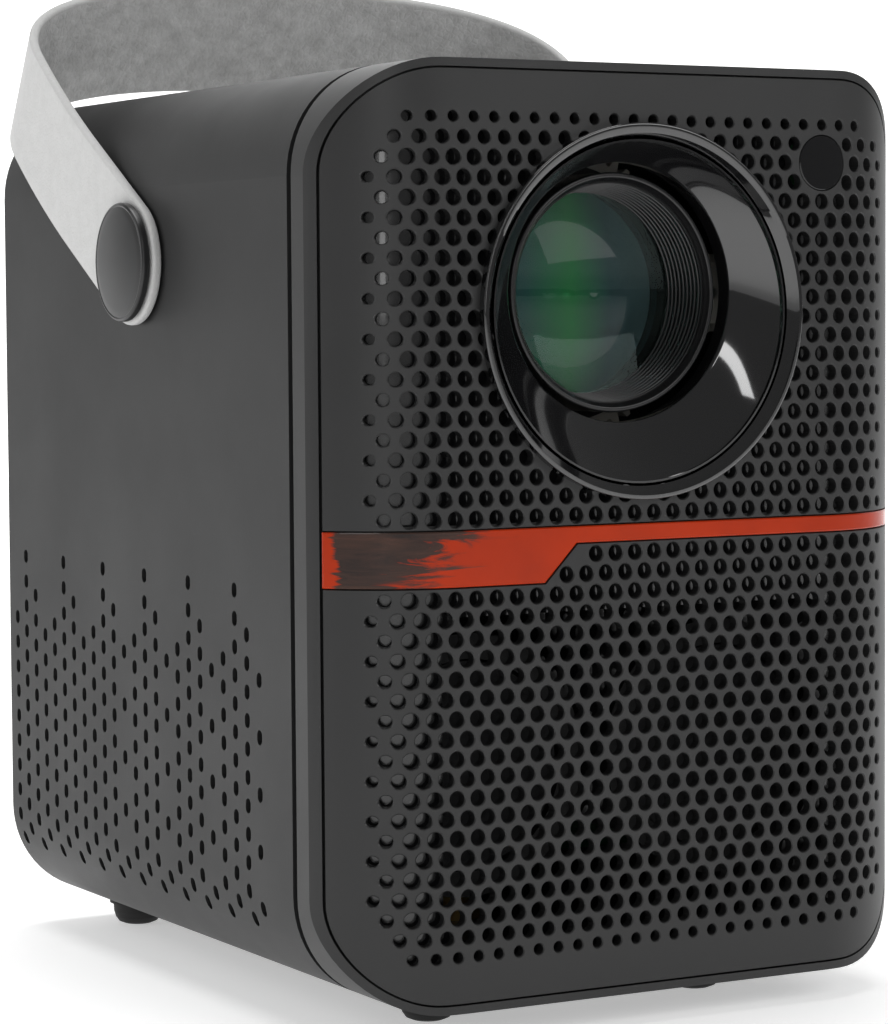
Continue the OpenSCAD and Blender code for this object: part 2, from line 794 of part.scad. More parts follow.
placed() housing_sleeve();
placed() front_frame();
placed() front_panel();
placed() grille_backing();
placed() accent_strip();
placed() sensor_window();
placed() sensor_board();
placed() lens_bezel();
placed() lens_mount();
placed() lens_barrel();
placed() lens_retainer();
placed() front_lens();
placed() middle_lens();
placed() rear_lens();
placed() focus_ring();
placed() focus_pinion();
placed() focus_motor();
placed() engine_case();
placed() front_fresnel();
placed() lcd_panel();
placed() rear_fresnel();
placed() condenser_lens();
placed() led_module();
placed() heat_sink();
placed() exhaust_fan_frame();
placed() exhaust_fan_rotor();
placed() intake_fan_frame();
placed() intake_fan_rotor();
placed() speaker_frames();
placed() speaker_cones();
placed() speaker_magnets();
placed() main_board();
placed() power_board();
placed() hdmi_port();
placed() usb_port();
placed() audio_jack();
placed() power_inlet();
placed() rear_cover();
placed() rear_screws();
placed() key_deck();
placed() key_board();
placed() power_key();
placed() source_key();
placed() minus_key();
placed() plus_key();
placed() menu_key();
placed() tripod_insert();
placed() foot_front_left();
placed() foot_front_right();
placed() foot_rear_left();
placed() foot_rear_right();
placed() strap();
placed() strap_stud_left();
placed() strap_stud_right();
placed() strap_nut_left();
placed() strap_nut_right();
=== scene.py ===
"""Home projector: upright casing, perforated curved front, funnel lens bezel, accent strip and strap handle.

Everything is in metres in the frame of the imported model: +X to the right seen from the front, the lens faces
-Y, and the feet stand on Z = 0. Depths are measured back from the flat of the front, and heights from the
casing's middle.
"""

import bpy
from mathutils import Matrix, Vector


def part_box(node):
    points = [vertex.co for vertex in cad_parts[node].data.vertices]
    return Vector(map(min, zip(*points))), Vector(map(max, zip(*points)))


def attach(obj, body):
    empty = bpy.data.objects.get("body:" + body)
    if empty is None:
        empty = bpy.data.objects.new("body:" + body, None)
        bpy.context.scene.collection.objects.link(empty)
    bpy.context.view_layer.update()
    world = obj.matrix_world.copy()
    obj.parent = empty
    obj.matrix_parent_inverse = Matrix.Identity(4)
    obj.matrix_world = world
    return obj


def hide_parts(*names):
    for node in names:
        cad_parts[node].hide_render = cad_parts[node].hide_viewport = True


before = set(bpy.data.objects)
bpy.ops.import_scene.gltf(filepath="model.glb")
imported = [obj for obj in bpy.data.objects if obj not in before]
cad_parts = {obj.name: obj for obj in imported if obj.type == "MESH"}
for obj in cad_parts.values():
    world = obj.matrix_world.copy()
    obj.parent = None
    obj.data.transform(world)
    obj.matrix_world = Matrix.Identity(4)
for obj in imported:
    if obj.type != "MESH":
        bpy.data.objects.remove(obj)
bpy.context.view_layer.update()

import math

import bmesh
import bpy
import numpy as np
from mathutils import Matrix, Vector
from mathutils.geometry import delaunay_2d_cdt

bl_info = {
    "name": "Home projector looks",
    "version": (1, 0, 0),
    "blender": (4, 5, 0),
    "location": "View3D > Sidebar > Projector",
    "description": "Builds the visible pieces, finishes and studio of a portable home projector",
    "category": "Add Mesh",
}

MM = 0.001
TAU = 2 * math.pi

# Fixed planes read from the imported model
FRONT_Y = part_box("front_frame")[0].y
FLOOR_OF_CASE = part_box("housing_sleeve")[0].z
TOP_OF_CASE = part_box("housing_sleeve")[1].z
MIDDLE_Z = (FLOOR_OF_CASE + TOP_OF_CASE) / 2
HALF_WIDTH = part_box("housing_sleeve")[1].x
LENS_X = (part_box("lens_barrel")[0].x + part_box("lens_barrel")[1].x) / 2
LENS_Z = (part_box("lens_barrel")[0].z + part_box("lens_barrel")[1].z) / 2
STUD_Y = (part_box("strap_stud_left")[0].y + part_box("strap_stud_left")[1].y) / 2
STUD_Z = (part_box("strap_stud_left")[0].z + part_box("strap_stud_left")[1].z) / 2


# ---- sizes and colours a user would change ----


def length(name, value_mm, about, low=0.0, high=400.0):
    """A size property, given in millimetres and kept in metres."""
    return bpy.props.FloatProperty(
        name=name, description=about, default=value_mm * MM, min=low * MM, max=high * MM,
        unit="LENGTH", subtype="DISTANCE", precision=5,
    )


def colour(name, value, about):
    """A linear colour property."""
    return bpy.props.FloatVectorProperty(
        name=name, description=about, default=value, size=3, min=0.0, max=1.0, subtype="COLOR"
    )


def plain(name, value, about, low=0.0, high=1000.0):
    """A number with no unit."""
    return bpy.props.FloatProperty(
        name=name, description=about, default=value, min=low, max=high, precision=4
    )


class CasingSizes(bpy.types.PropertyGroup):
    """Outline and front curve of the casing."""

    corner_radius: length("Corner radius", 21.5, "Radius of the casing's long rounded edges")
    flat_half: length("Flat half width", 40.7, "Half width of the flat middle of the front")
    curve_radius: length("Curve radius", 30.8, "Radius that turns the front back at each side")
    panel_inset: length("Panel inset", 1.9, "Distance from the casing's edge to the panel's edge")
    panel_thickness: length("Panel thickness", 2.35, "Thickness of the perforated panel")


class GrilleSizes(bpy.types.PropertyGroup):
    """Lattice of the grille holes."""

    pitch: length("Hole pitch", 4.4, "Distance between neighbouring holes in a row")
    row_ratio: plain("Row ratio", 0.857, "Row spacing as a share of the hole pitch", 0.5, 1.2)
    rows: bpy.props.IntProperty(
        name="Rows", description="Rows of holes above, and again below, the middle", default=21, min=1, max=30
    )
    chamfer: length("Hole chamfer", 0.22, "Width of the broken edge round each hole")
    hole_sides: bpy.props.IntProperty(
        name="Hole sides", description="Corners of each hole's outline", default=18, min=8, max=32
    )


class LensSizes(bpy.types.PropertyGroup):
    """Bezel funnel, sensor window and accent strip."""

    bezel_up: length("Bezel height", 42.5, "Height of the bezel's centre above the casing's middle")
    bezel_radius: length("Bezel radius", 36.2, "Outer radius of the bezel ring")
    bezel_proud: length("Bezel proud", 2.0, "How far the bezel stands in front of the panel")
    mouth_radius: length("Mouth radius", 35.0, "Radius of the funnel's mouth")
    mouth_drop: length("Mouth drop", 0.8, "How far the mouth's centre sits below the ring's centre")
    throat_radius: length("Throat radius", 25.4, "Radius of the funnel's throat")
    throat_depth: length("Throat depth", 8.0, "Depth of the funnel's throat")
    spigot_radius: length("Spigot radius", 32.7, "Outer radius of the bezel's spigot")
    sensor_radius: length("Sensor radius", 5.4, "Radius of the sensor window")


class StrapSizes(bpy.types.PropertyGroup):
    """Path and section of the carrying strap."""

    width: length("Strap width", 26.0, "Width of the strap")
    thickness: length("Strap thickness", 2.0, "Thickness of the strap")
    edge: length("Edge radius", 0.75, "Rounding of the strap's edges")
    side_gap: length("Side gap", 0.35, "Gap between the casing and the strap")
    reach: length("Strap reach", 91.0, "Distance from the studs to the inside of the crown")
    shoulder: length("Shoulder", 64.0, "Length of each straight side above the stud")
    arch_power: plain("Arch power", 2.6, "Power of the superellipse over the crown", 1.0, 6.0)
    lean: bpy.props.FloatProperty(
        name="Lean", description="Lean of the strap behind the vertical", default=math.radians(60.0),
        unit="ROTATION", subtype="ANGLE",
    )
    crown_lift: length("Crown lift", 8.0, "How far the crown rises out of the plane of the sides")
    lift_start: length("Lift start", 30.0, "Distance from the studs where the crown starts to rise")


class Colours(bpy.types.PropertyGroup):
    """Colours of the finishes, linear."""

    casing: colour("Casing", (0.0165, 0.0165, 0.0168), "Moulded casing plastic")
    panel: colour("Panel", (0.0135, 0.0135, 0.0137), "Front panel plastic")
    gloss: colour("Gloss black", (0.006, 0.006, 0.0065), "Polished black plastic")
    accent: colour("Accent", (0.385, 0.026, 0.002), "Accent strip lacquer")
    smear: colour("Smear", (0.018, 0.016, 0.016), "Dark smears in the accent strip")
    leather: colour("Leather", (0.58, 0.58, 0.575), "Outer face of the strap")
    suede: colour("Suede", (0.56, 0.56, 0.555), "Inner face of the strap")
    rubber: colour("Rubber", (0.009, 0.009, 0.009), "Feet")


class ProjectorSettings(bpy.types.PropertyGroup):
    """All settings of the projector."""

    casing: bpy.props.PointerProperty(type=CasingSizes, name="Casing", description="Casing and front curve")
    grille: bpy.props.PointerProperty(type=GrilleSizes, name="Grille", description="Grille holes")
    lens: bpy.props.PointerProperty(type=LensSizes, name="Lens", description="Bezel and front trim")
    strap: bpy.props.PointerProperty(type=StrapSizes, name="Strap", description="Carrying strap")
    colours: bpy.props.PointerProperty(type=Colours, name="Colours", description="Finish colours")


def settings():
    return bpy.context.scene.projector


# ---- mesh helpers ----


def mesh_object(name, points, faces, materials, smooth_angle=38.0, weld=1e-7, indices=None):
    """Object from an (n, 3) array and a list of faces, its doubles merged and its normals turned outwards."""
    mesh = bpy.data.meshes.new(name)
    mesh.from_pydata(points.tolist(), [], faces)
    for material in materials:
        mesh.materials.append(material)
    if indices is not None:
        mesh.polygons.foreach_set("material_index", np.asarray(indices, np.int32))
    shell = bmesh.new()
    shell.from_mesh(mesh)
    bmesh.ops.remove_doubles(shell, verts=shell.verts, dist=weld)
    bmesh.ops.dissolve_degenerate(shell, edges=shell.edges, dist=weld)
    bmesh.ops.recalc_face_normals(shell, faces=shell.faces)
    shell.to_mesh(mesh)
    shell.free()
    mesh.polygons.foreach_set("use_smooth", np.ones(len(mesh.polygons), bool))
    mesh.set_sharp_from_angle(angle=math.radians(smooth_angle))
    mesh.update()
    made = bpy.data.objects.new(name, mesh)
    bpy.context.scene.collection.objects.link(made)
    return made


def grid_faces(rows, columns, wrap_rows=False, wrap_columns=True):
    """Quads of a rows x columns grid of points, row after row, closed in either direction on request."""
    r = np.arange(rows if wrap_rows else rows - 1)[:, None]
    c = np.arange(columns if wrap_columns else columns - 1)[None, :]
    r2, c2 = (r + 1) % rows, (c + 1) % columns
    quads = np.stack([r * columns + c, r * columns + c2, r2 * columns + c2, r2 * columns + c], axis=-1)
    return quads.reshape(-1, 4)


def arc(centre, radius, start, stop, steps):
    """Points (radius, depth) on an arc about centre, angles in degrees."""
    a = np.radians(np.linspace(start, stop, steps))
    return np.stack([centre[0] + radius * np.cos(a), centre[1] + radius * np.sin(a)], axis=1)


def turned(profile, centre, sides=160, closed=True, axis="y"):
    """Surface of revolution: at angle t a profile point (radius, depth, rise) lies at radius times
    (cos t, sin t) round the centre raised by rise, and depth along the axis. A closed profile makes a ring,
    an open one a solid whose first and last points lie on the axis."""
    profile = np.asarray(profile, float)
    if profile.shape[1] == 2:
        profile = np.column_stack([profile, np.zeros(len(profile))])
    t = np.arange(sides) * TAU / sides
    r, d, rise = profile[:, :1], profile[:, 1:2], profile[:, 2:3]
    across, up = r * np.cos(t), r * np.sin(t) + rise
    along = np.broadcast_to(d, across.shape)
    if axis == "y":
        points = np.stack([centre[0] + across, centre[1] + along, centre[2] + up], axis=-1)
    else:
        points = np.stack([centre[0] + along, centre[1] + across, centre[2] + up], axis=-1)
    return points.reshape(-1, 3), grid_faces(len(profile), sides, wrap_rows=closed).tolist()


def front_curve(x):
    """Depth of the front surface at x: nothing on the flat, then a circle that turns back, and its slope."""
    casing = settings().casing
    q = np.clip(np.abs(x) - casing.flat_half, 0, casing.curve_radius * 0.999)
    root = np.sqrt(casing.curve_radius**2 - q**2)
    return casing.curve_radius - root, np.sign(x) * q / root


def on_front(u, v, depth):
    """Point at width u and height v above the middle, depth behind the curved front along its normal,
    and the outward normal there."""
    back, slope = front_curve(u)
    size = np.sqrt(1 + slope**2)
    normal = np.stack([slope / size, -1 / size, np.zeros_like(u)], axis=1)
    place = np.stack([u, FRONT_Y + back, MIDDLE_Z + v], axis=1)
    return place - normal * np.asarray(depth)[:, None], normal


def within(points, outline):
    """Which points lie inside a closed outline, by counting the edges that a line to the right of each
    crosses."""
    a, b = outline, np.roll(outline, -1, axis=0)
    x, z = points[:, :1], points[:, 1:]
    fall = np.where(b[:, 1] == a[:, 1], 1e-9, b[:, 1] - a[:, 1])
    crosses = ((a[:, 1] > z) != (b[:, 1] > z)) & (x < a[:, 0] + (z - a[:, 1]) * (b[:, 0] - a[:, 0]) / fall)
    return crosses.sum(axis=1) % 2 == 1


def pierced_sheet(loops, extra, thickness, chamfer, lift=0.0):
    """Sheet with holes that follows the front. Each loop is a pair: its outline on the surface, and the
    outline one chamfer deeper, which also runs through to the back. The surface is a constrained
    triangulation of the outlines and the extra points, walls join the outlines, and the back repeats the
    surface's triangles turned round. Gives points, triangles, and one normal per triangle corner."""
    top = np.concatenate([pair[0] for pair in loops] + [extra])
    deep = np.concatenate([pair[1] for pair in loops] + [extra])
    counts = np.array([len(pair[0]) for pair in loops])
    starts = np.concatenate([[0], np.cumsum(counts)[:-1]])
    here = np.arange(counts.sum())
    after = here + 1
    after[starts + counts - 1] = starts
    made = delaunay_2d_cdt((top / MM).tolist(), np.stack([here, after], 1).tolist(), [], 2, 1e-7, True)
    if any(len(source) == 0 for source in made[3]):
        raise RuntimeError("the outlines of a pierced sheet cross")
    face = np.array([source[0] for source in made[3]])[np.array(made[2])]
    # A triangle with all its corners on one hole's outline fills that hole
    owner = np.concatenate([np.repeat(np.arange(len(loops)), counts), np.zeros(len(extra), int)])[face]
    solid = (owner[:, 0] == 0) | (owner[:, 0] != owner[:, 1]) | (owner[:, 0] != owner[:, 2])
    face = face[solid & within(top[face].mean(axis=1), loops[0][0])]
    a, b, c = top[face[:, 0]], top[face[:, 1]], top[face[:, 2]]
    turn = (b[:, 0] - a[:, 0]) * (c[:, 1] - a[:, 1]) - (b[:, 1] - a[:, 1]) * (c[:, 0] - a[:, 0])
    face[turn < 0] = face[turn < 0][:, ::-1]
    n, edge = len(top), counts.sum()
    layers = [
        on_front(top[:, 0], top[:, 1], np.full(n, -lift)),
        on_front(deep[:edge, 0], deep[:edge, 1], np.full(edge, chamfer - lift)),
        on_front(deep[:, 0], deep[:, 1], np.full(n, thickness)),
    ]
    points = np.concatenate([layer[0] for layer in layers])
    normals = np.concatenate([layer[1] for layer in layers])
    up, mid, low = here, here + n, here + n + edge
    nxt_up, nxt_mid, nxt_low = after, after + n, after + n + edge
    walls = [
        np.stack([up, mid, nxt_mid], 1), np.stack([up, nxt_mid, nxt_up], 1),
        np.stack([mid, low, nxt_low], 1), np.stack([mid, nxt_low, nxt_mid], 1),
    ]
    back = face[:, ::-1] + n + edge
    corner_normals = [normals[face], *[None] * 4, -normals[back]]
    # Walls: a loop runs anticlockwise round material on its left, so each strip's own faces give its normals
    for k, wall in enumerate(walls):
        p = points[wall]
        flat = np.cross(p[:, 1] - p[:, 0], p[:, 2] - p[:, 0])
        flat /= np.maximum(np.linalg.norm(flat, axis=1, keepdims=True), 1e-12)
        corner_normals[k + 1] = np.repeat(flat[:, None, :], 3, axis=1)
    return points, np.concatenate([face, *walls, back]), np.concatenate(corner_normals)


def sheet_object(name, parts, materials):
    """One object from several pierced sheets, with their surface normals kept as they were worked out."""
    shift, points, faces, normals = 0, [], [], []
    for part_points, part_faces, part_normals in parts:
        points.append(part_points)
        faces.append(part_faces + shift)
        normals.append(part_normals)
        shift += len(part_points)
    points, faces, normals = np.concatenate(points), np.concatenate(faces), np.concatenate(normals)
    mesh = bpy.data.meshes.new(name)
    mesh.from_pydata(points.tolist(), [], faces.tolist())
    for material in materials:
        mesh.materials.append(material)
    mesh.polygons.foreach_set("use_smooth", np.ones(len(mesh.polygons), bool))
    mesh.normals_split_custom_set(normals.reshape(-1, 3).tolist())
    mesh.update()
    made = bpy.data.objects.new(name, mesh)
    bpy.context.scene.collection.objects.link(made)
    return made


def circle_loop(x, z, radius, sides, clockwise=True):
    """Outline of a round hole, clockwise so that the material lies on its left."""
    t = np.arange(sides) * TAU / sides * (-1 if clockwise else 1)
    return np.stack([x + radius * np.cos(t), z + radius * np.sin(t)], axis=1)


def shrink(loop, amount):
    """Outline moved inwards by amount: each corner moves along the mean of its two edges' inward normals."""
    before, after = np.roll(loop, 1, axis=0), np.roll(loop, -1, axis=0)
    e1, e2 = loop - before, after - loop
    n1 = np.stack([-e1[:, 1], e1[:, 0]], 1) / np.linalg.norm(e1, axis=1, keepdims=True)
    n2 = np.stack([-e2[:, 1], e2[:, 0]], 1) / np.linalg.norm(e2, axis=1, keepdims=True)
    mean = n1 + n2
    mean /= np.linalg.norm(mean, axis=1, keepdims=True)
    return loop + mean * (amount / np.maximum((mean * n1).sum(1, keepdims=True), 0.5))


# ---- shader helpers ----


def value_group(name, inputs, outputs):
    """Empty shader node group with named float or colour sockets."""
    group = bpy.data.node_groups.new(name, "ShaderNodeTree")
    for label, kind, value in inputs:
        socket = group.interface.new_socket(label, in_out="INPUT", socket_type=kind)
        socket.default_value = value
    for label, kind in outputs:
        group.interface.new_socket(label, in_out="OUTPUT", socket_type=kind)
    return group, group.nodes.new("NodeGroupInput"), group.nodes.new("NodeGroupOutput")


def add(tree, kind, inputs=None, **attributes):
    """Node of a kind with its attributes set and its inputs set or linked by name or number."""
    made = tree.nodes.new(kind)
    for key, value in attributes.items():
        setattr(made, key, value)
    for key, value in (inputs or {}).items():
        if isinstance(value, bpy.types.NodeSocket):
            tree.links.new(value, made.inputs[key])
        else:
            made.inputs[key].default_value = value
    return made


def grain_group():
    """Moulded grain: a fine noise as height and a broad noise as tone, both 0 to 1, from the piece's own
    coordinates."""
    name = "moulded_grain"
    if name in bpy.data.node_groups:
        return bpy.data.node_groups[name]
    group, inputs, outputs = value_group(
        name,
        [("Grain Scale", "NodeSocketFloat", 2600.0), ("Tone Scale", "NodeSocketFloat", 35.0),
         ("Stretch", "NodeSocketVector", (1.0, 1.0, 1.0))],
        [("Height", "NodeSocketFloat"), ("Tone", "NodeSocketFloat")],
    )
    place = add(group, "ShaderNodeTexCoord")
    bent = add(group, "ShaderNodeVectorMath",
               {0: place.outputs["Object"], 1: inputs.outputs["Stretch"]}, operation="MULTIPLY")
    fine = add(group, "ShaderNodeTexNoise", {
        "Vector": bent.outputs[0], "Scale": inputs.outputs["Grain Scale"], "Detail": 2.0, "Roughness": 0.6,
    })
    broad = add(group, "ShaderNodeTexNoise", {
        "Vector": bent.outputs[0], "Scale": inputs.outputs["Tone Scale"], "Detail": 4.0, "Roughness": 0.55,
    })
    group.links.new(fine.outputs["Fac"], outputs.inputs["Height"])
    group.links.new(broad.outputs["Fac"], outputs.inputs["Tone"])
    return group


def dust_group():
    """Faint dust: sparse specks where a cell noise passes a threshold, 0 to 1."""
    name = "fine_dust"
    if name in bpy.data.node_groups:
        return bpy.data.node_groups[name]
    group, inputs, outputs = value_group(
        name, [("Scale", "NodeSocketFloat", 700.0), ("Amount", "NodeSocketFloat", 0.5)],
        [("Mask", "NodeSocketFloat")],
    )
    place = add(group, "ShaderNodeTexCoord")
    cells = add(group, "ShaderNodeTexVoronoi",
                {"Vector": place.outputs["Object"], "Scale": inputs.outputs["Scale"], "Randomness": 1.0})
    near = ramp(group, cells.outputs["Distance"], 0.0, 1.0, 0.10, 0.04)
    much = add(group, "ShaderNodeMath", {0: near, 1: inputs.outputs["Amount"]}, operation="MULTIPLY")
    group.links.new(much.outputs[0], outputs.inputs["Mask"])
    return group


def ramp(tree, source, low, high, from_low=0.3, from_high=0.7):
    """Source spread from one range to another."""
    return add(tree, "ShaderNodeMapRange", {
        "Value": source, "From Min": from_low, "From Max": from_high, "To Min": low, "To Max": high,
    }).outputs[0]


def mixed(tree, factor, a, b):
    """Two colours mixed by a factor; either may be a socket or a colour."""
    made = tree.nodes.new("ShaderNodeMix")
    made.data_type = "RGBA"
    for socket, value in ((made.inputs[0], factor), (made.inputs[6], a), (made.inputs[7], b)):
        if isinstance(value, bpy.types.NodeSocket):
            tree.links.new(value, socket)
        else:
            socket.default_value = value if isinstance(value, float) else (*value, 1.0)
    return made.outputs[2]


def shaded(value, factor):
    """A colour made darker or lighter."""
    return tuple(min(1.0, c * factor) for c in value)


def finish(name, base, rough=(0.4, 0.5), grain=2600.0, depth=0.000006, tone=0.08, tone_scale=35.0,
           stretch=(1.0, 1.0, 1.0), metallic=0.0, dust=0.0, **constants):
    """Material with moulded or ground grain: broad tone in the colour and the roughness, fine grain in the
    bump, and faint dust. Constants go straight to the shader's own sockets."""
    material = bpy.data.materials.new(name)
    material.use_nodes = True
    tree = material.node_tree
    shader = tree.nodes["Principled BSDF"]
    texture = add(tree, "ShaderNodeGroup", node_tree=grain_group())
    texture.inputs["Grain Scale"].default_value = grain
    texture.inputs["Tone Scale"].default_value = tone_scale
    texture.inputs["Stretch"].default_value = stretch
    spread = ramp(tree, texture.outputs["Tone"], 0.0, 1.0)
    paint = mixed(tree, spread, shaded(base, 1 - tone), shaded(base, 1 + tone))
    if dust:
        specks = add(tree, "ShaderNodeGroup", node_tree=dust_group())
        specks.inputs["Amount"].default_value = dust
        paint = mixed(tree, specks.outputs["Mask"], paint, (0.35, 0.34, 0.33))
    tree.links.new(paint, shader.inputs["Base Color"])
    tree.links.new(ramp(tree, texture.outputs["Tone"], *rough), shader.inputs["Roughness"])
    bump = add(tree, "ShaderNodeBump", {
        "Height": texture.outputs["Height"], "Distance": depth, "Strength": 1.0,
    })
    tree.links.new(bump.outputs["Normal"], shader.inputs["Normal"])
    shader.inputs["Metallic"].default_value = metallic
    for key, value in constants.items():
        shader.inputs[key.replace("_", " ")].default_value = value
    return material


def glass_finish(name, tint, ior=1.52):
    """Clear optical glass with a breath of dust on its surface. A low ior stands for a coating that kills
    reflections."""
    material = bpy.data.materials.new(name)
    material.use_nodes = True
    tree = material.node_tree
    shader = tree.nodes["Principled BSDF"]
    specks = add(tree, "ShaderNodeGroup", node_tree=dust_group())
    specks.inputs["Scale"].default_value = 900.0
    specks.inputs["Amount"].default_value = 0.03
    tree.links.new(mixed(tree, specks.outputs["Mask"], tint, (0.5, 0.5, 0.5)), shader.inputs["Base Color"])
    tree.links.new(ramp(tree, specks.outputs["Mask"], 0.0, 0.2, 0.0, 1.0), shader.inputs["Roughness"])
    shader.inputs["IOR"].default_value = ior
    shader.inputs["Transmission Weight"].default_value = 1.0
    return material


def painted_reflection_glass_finish(name):
    """Inner coated glass with a painted reflection: its base colour shifts across the lens from teal to green
    to pale grey, the coating's coloured reflections painted in place.
    """
    material = bpy.data.materials.new(name)
    material.use_nodes = True
    tree = material.node_tree
    shader = tree.nodes["Principled BSDF"]
    place = add(tree, "ShaderNodeTexCoord")
    split = add(tree, "ShaderNodeSeparateXYZ", {0: place.outputs["Object"]})
    wobble = add(tree, "ShaderNodeTexNoise", {
        "Vector": place.outputs["Object"], "Scale": 60.0, "Detail": 2.0,
    })
    across = add(tree, "ShaderNodeMath", {0: split.outputs["X"], 1: LENS_X}, operation="SUBTRACT")
    shifted = add(tree, "ShaderNodeMath", {0: wobble.outputs["Fac"], 1: 0.004, 2: across.outputs[0]},
                  operation="MULTIPLY_ADD")
    t = ramp(tree, shifted.outputs[0], 0.0, 1.0, -0.018, 0.022)
    band = tree.nodes.new("ShaderNodeValToRGB")
    tree.links.new(t, band.inputs[0])
    # Painted reflection: teal, green and pale grey tints of the coating's reflections laid across the lens as
    # base colour
    painted_reflection_tints = [(0.0, (0.006, 0.016, 0.022)), (0.3, (0.006, 0.045, 0.045)), (0.55, (0.008, 0.13, 0.03)),
             (0.75, (0.03, 0.06, 0.07)), (1.0, (0.12, 0.15, 0.17))]
    while len(band.color_ramp.elements) < len(painted_reflection_tints):
        band.color_ramp.elements.new(0.5)
    for element, (where, value) in zip(band.color_ramp.elements, painted_reflection_tints):
        element.position, element.color = where, (*value, 1.0)
    tree.links.new(band.outputs[0], shader.inputs["Base Color"])
    tree.links.new(ramp(tree, wobble.outputs["Fac"], 0.32, 0.40), shader.inputs["Roughness"])
    shader.inputs["Metallic"].default_value = 0.3
    shader.inputs["Specular IOR Level"].default_value = 0.2
    return material


def accent_finish():
    """Glossy lacquer with dark smears over its left third: stretched noise torn along the strip, thinning out
    along a slanted edge."""
    colours = settings().colours
    material = bpy.data.materials.new("accent_lacquer")
    material.use_nodes = True
    tree = material.node_tree
    shader = tree.nodes["Principled BSDF"]
    place = add(tree, "ShaderNodeTexCoord")
    split = add(tree, "ShaderNodeSeparateXYZ", {0: place.outputs["Object"]})
    pull = add(tree, "ShaderNodeMapping", {"Vector": place.outputs["Object"], "Rotation": (0.0, 0.12, 0.0),
                                           "Scale": (55.0, 55.0, 420.0)})
    torn = add(tree, "ShaderNodeTexNoise", {"Vector": pull.outputs[0], "Scale": 1.0, "Detail": 8.0,
                                            "Roughness": 0.68, "Distortion": 0.9})
    # Distance past the slanted end of the smears, in metres
    slant = add(tree, "ShaderNodeMath", {0: split.outputs["Z"], 1: -1.3, 2: split.outputs["X"]},
                operation="MULTIPLY_ADD")
    edge = ramp(tree, slant.outputs[0], 1.0, 0.0, -1.3 * MIDDLE_Z - 0.060, -1.3 * MIDDLE_Z - 0.018)
    near_end = ramp(tree, split.outputs["X"], 0.0, 1.0, -0.0655, -0.062)
    reach = add(tree, "ShaderNodeMath", {0: edge, 1: near_end}, operation="MULTIPLY").outputs[0]
    level = add(tree, "ShaderNodeMath", {0: reach, 1: 0.62, 2: torn.outputs["Fac"]}, operation="MULTIPLY_ADD")
    mask = ramp(tree, level.outputs[0], 0.0, 1.0, 0.80, 0.90)
    texture = add(tree, "ShaderNodeGroup", node_tree=grain_group())
    texture.inputs["Tone Scale"].default_value = 60.0
    warm = mixed(tree, ramp(tree, texture.outputs["Tone"], 0.0, 1.0), shaded(colours.accent, 0.85),
                 shaded(colours.accent, 1.1))
    thin = ramp(tree, torn.outputs["Fac"], 0.0, 1.0, 0.35, 0.7)
    smoke = mixed(tree, thin, colours.smear, (0.07, 0.035, 0.025))
    tree.links.new(mixed(tree, mask, warm, smoke), shader.inputs["Base Color"])
    tree.links.new(ramp(tree, texture.outputs["Tone"], 0.10, 0.18), shader.inputs["Roughness"])
    bump = add(tree, "ShaderNodeBump", {"Height": torn.outputs["Fac"], "Distance": 0.00003, "Strength": 0.5})
    tree.links.new(bump.outputs["Normal"], shader.inputs["Normal"])
    shader.inputs["Specular IOR Level"].default_value = 0.12
    shader.inputs["Coat Weight"].default_value = 0.12
    shader.inputs["Coat Roughness"].default_value = 0.04
    return material


def leather_finish(name, base, rough, depth, scale, tone, sheen):
    """Leather or suede: cell creases and fibre noise in the bump, mottled colour, a little sheen."""
    material = bpy.data.materials.new(name)
    material.use_nodes = True
    tree = material.node_tree
    shader = tree.nodes["Principled BSDF"]
    place = add(tree, "ShaderNodeTexCoord")
    cells = add(tree, "ShaderNodeTexVoronoi", {"Vector": place.outputs["Object"], "Scale": scale},
                feature="DISTANCE_TO_EDGE")
    fibre = add(tree, "ShaderNodeTexNoise", {"Vector": place.outputs["Object"], "Scale": scale * 1.7,
                                             "Detail": 5.0, "Roughness": 0.7})
    mottle = add(tree, "ShaderNodeTexNoise", {"Vector": place.outputs["Object"], "Scale": scale * 0.35,
                                              "Detail": 6.0, "Roughness": 0.75})
    crease = ramp(tree, cells.outputs["Distance"], 0.0, 0.6, 0.0, 0.25)
    height = add(tree, "ShaderNodeMath", {0: fibre.outputs["Fac"], 1: crease}, operation="ADD")
    bump = add(tree, "ShaderNodeBump", {"Height": height.outputs[0], "Distance": depth, "Strength": 1.0})
    spread = ramp(tree, mottle.outputs["Fac"], 0.0, 1.0)
    paint = mixed(tree, spread, shaded(base, 1 - tone), shaded(base, 1 + tone))
    tree.links.new(paint, shader.inputs["Base Color"])
    tree.links.new(ramp(tree, fibre.outputs["Fac"], *rough), shader.inputs["Roughness"])
    tree.links.new(bump.outputs["Normal"], shader.inputs["Normal"])
    shader.inputs["Sheen Weight"].default_value = sheen
    shader.inputs["Sheen Roughness"].default_value = 0.5
    return material


def board_finish():
    """Circuit board: green lacquer with brick-laid copper tracks showing through, faintly raised."""
    material = bpy.data.materials.new("board_lacquer")
    material.use_nodes = True
    tree = material.node_tree
    shader = tree.nodes["Principled BSDF"]
    place = add(tree, "ShaderNodeTexCoord")
    tracks = add(tree, "ShaderNodeTexBrick", {
        "Vector": place.outputs["Object"],
        "Color1": (0.012, 0.075, 0.03, 1.0), "Color2": (0.016, 0.10, 0.04, 1.0),
        "Mortar": (0.05, 0.20, 0.07, 1.0), "Scale": 90.0, "Mortar Size": 0.05,
    })
    tree.links.new(tracks.outputs["Color"], shader.inputs["Base Color"])
    tree.links.new(ramp(tree, tracks.outputs["Fac"], 0.35, 0.28, 0.0, 1.0), shader.inputs["Roughness"])
    bump = add(tree, "ShaderNodeBump", {"Height": tracks.outputs["Fac"], "Distance": 0.00002})
    tree.links.new(bump.outputs["Normal"], shader.inputs["Normal"])
    return material


# ---- operators ----


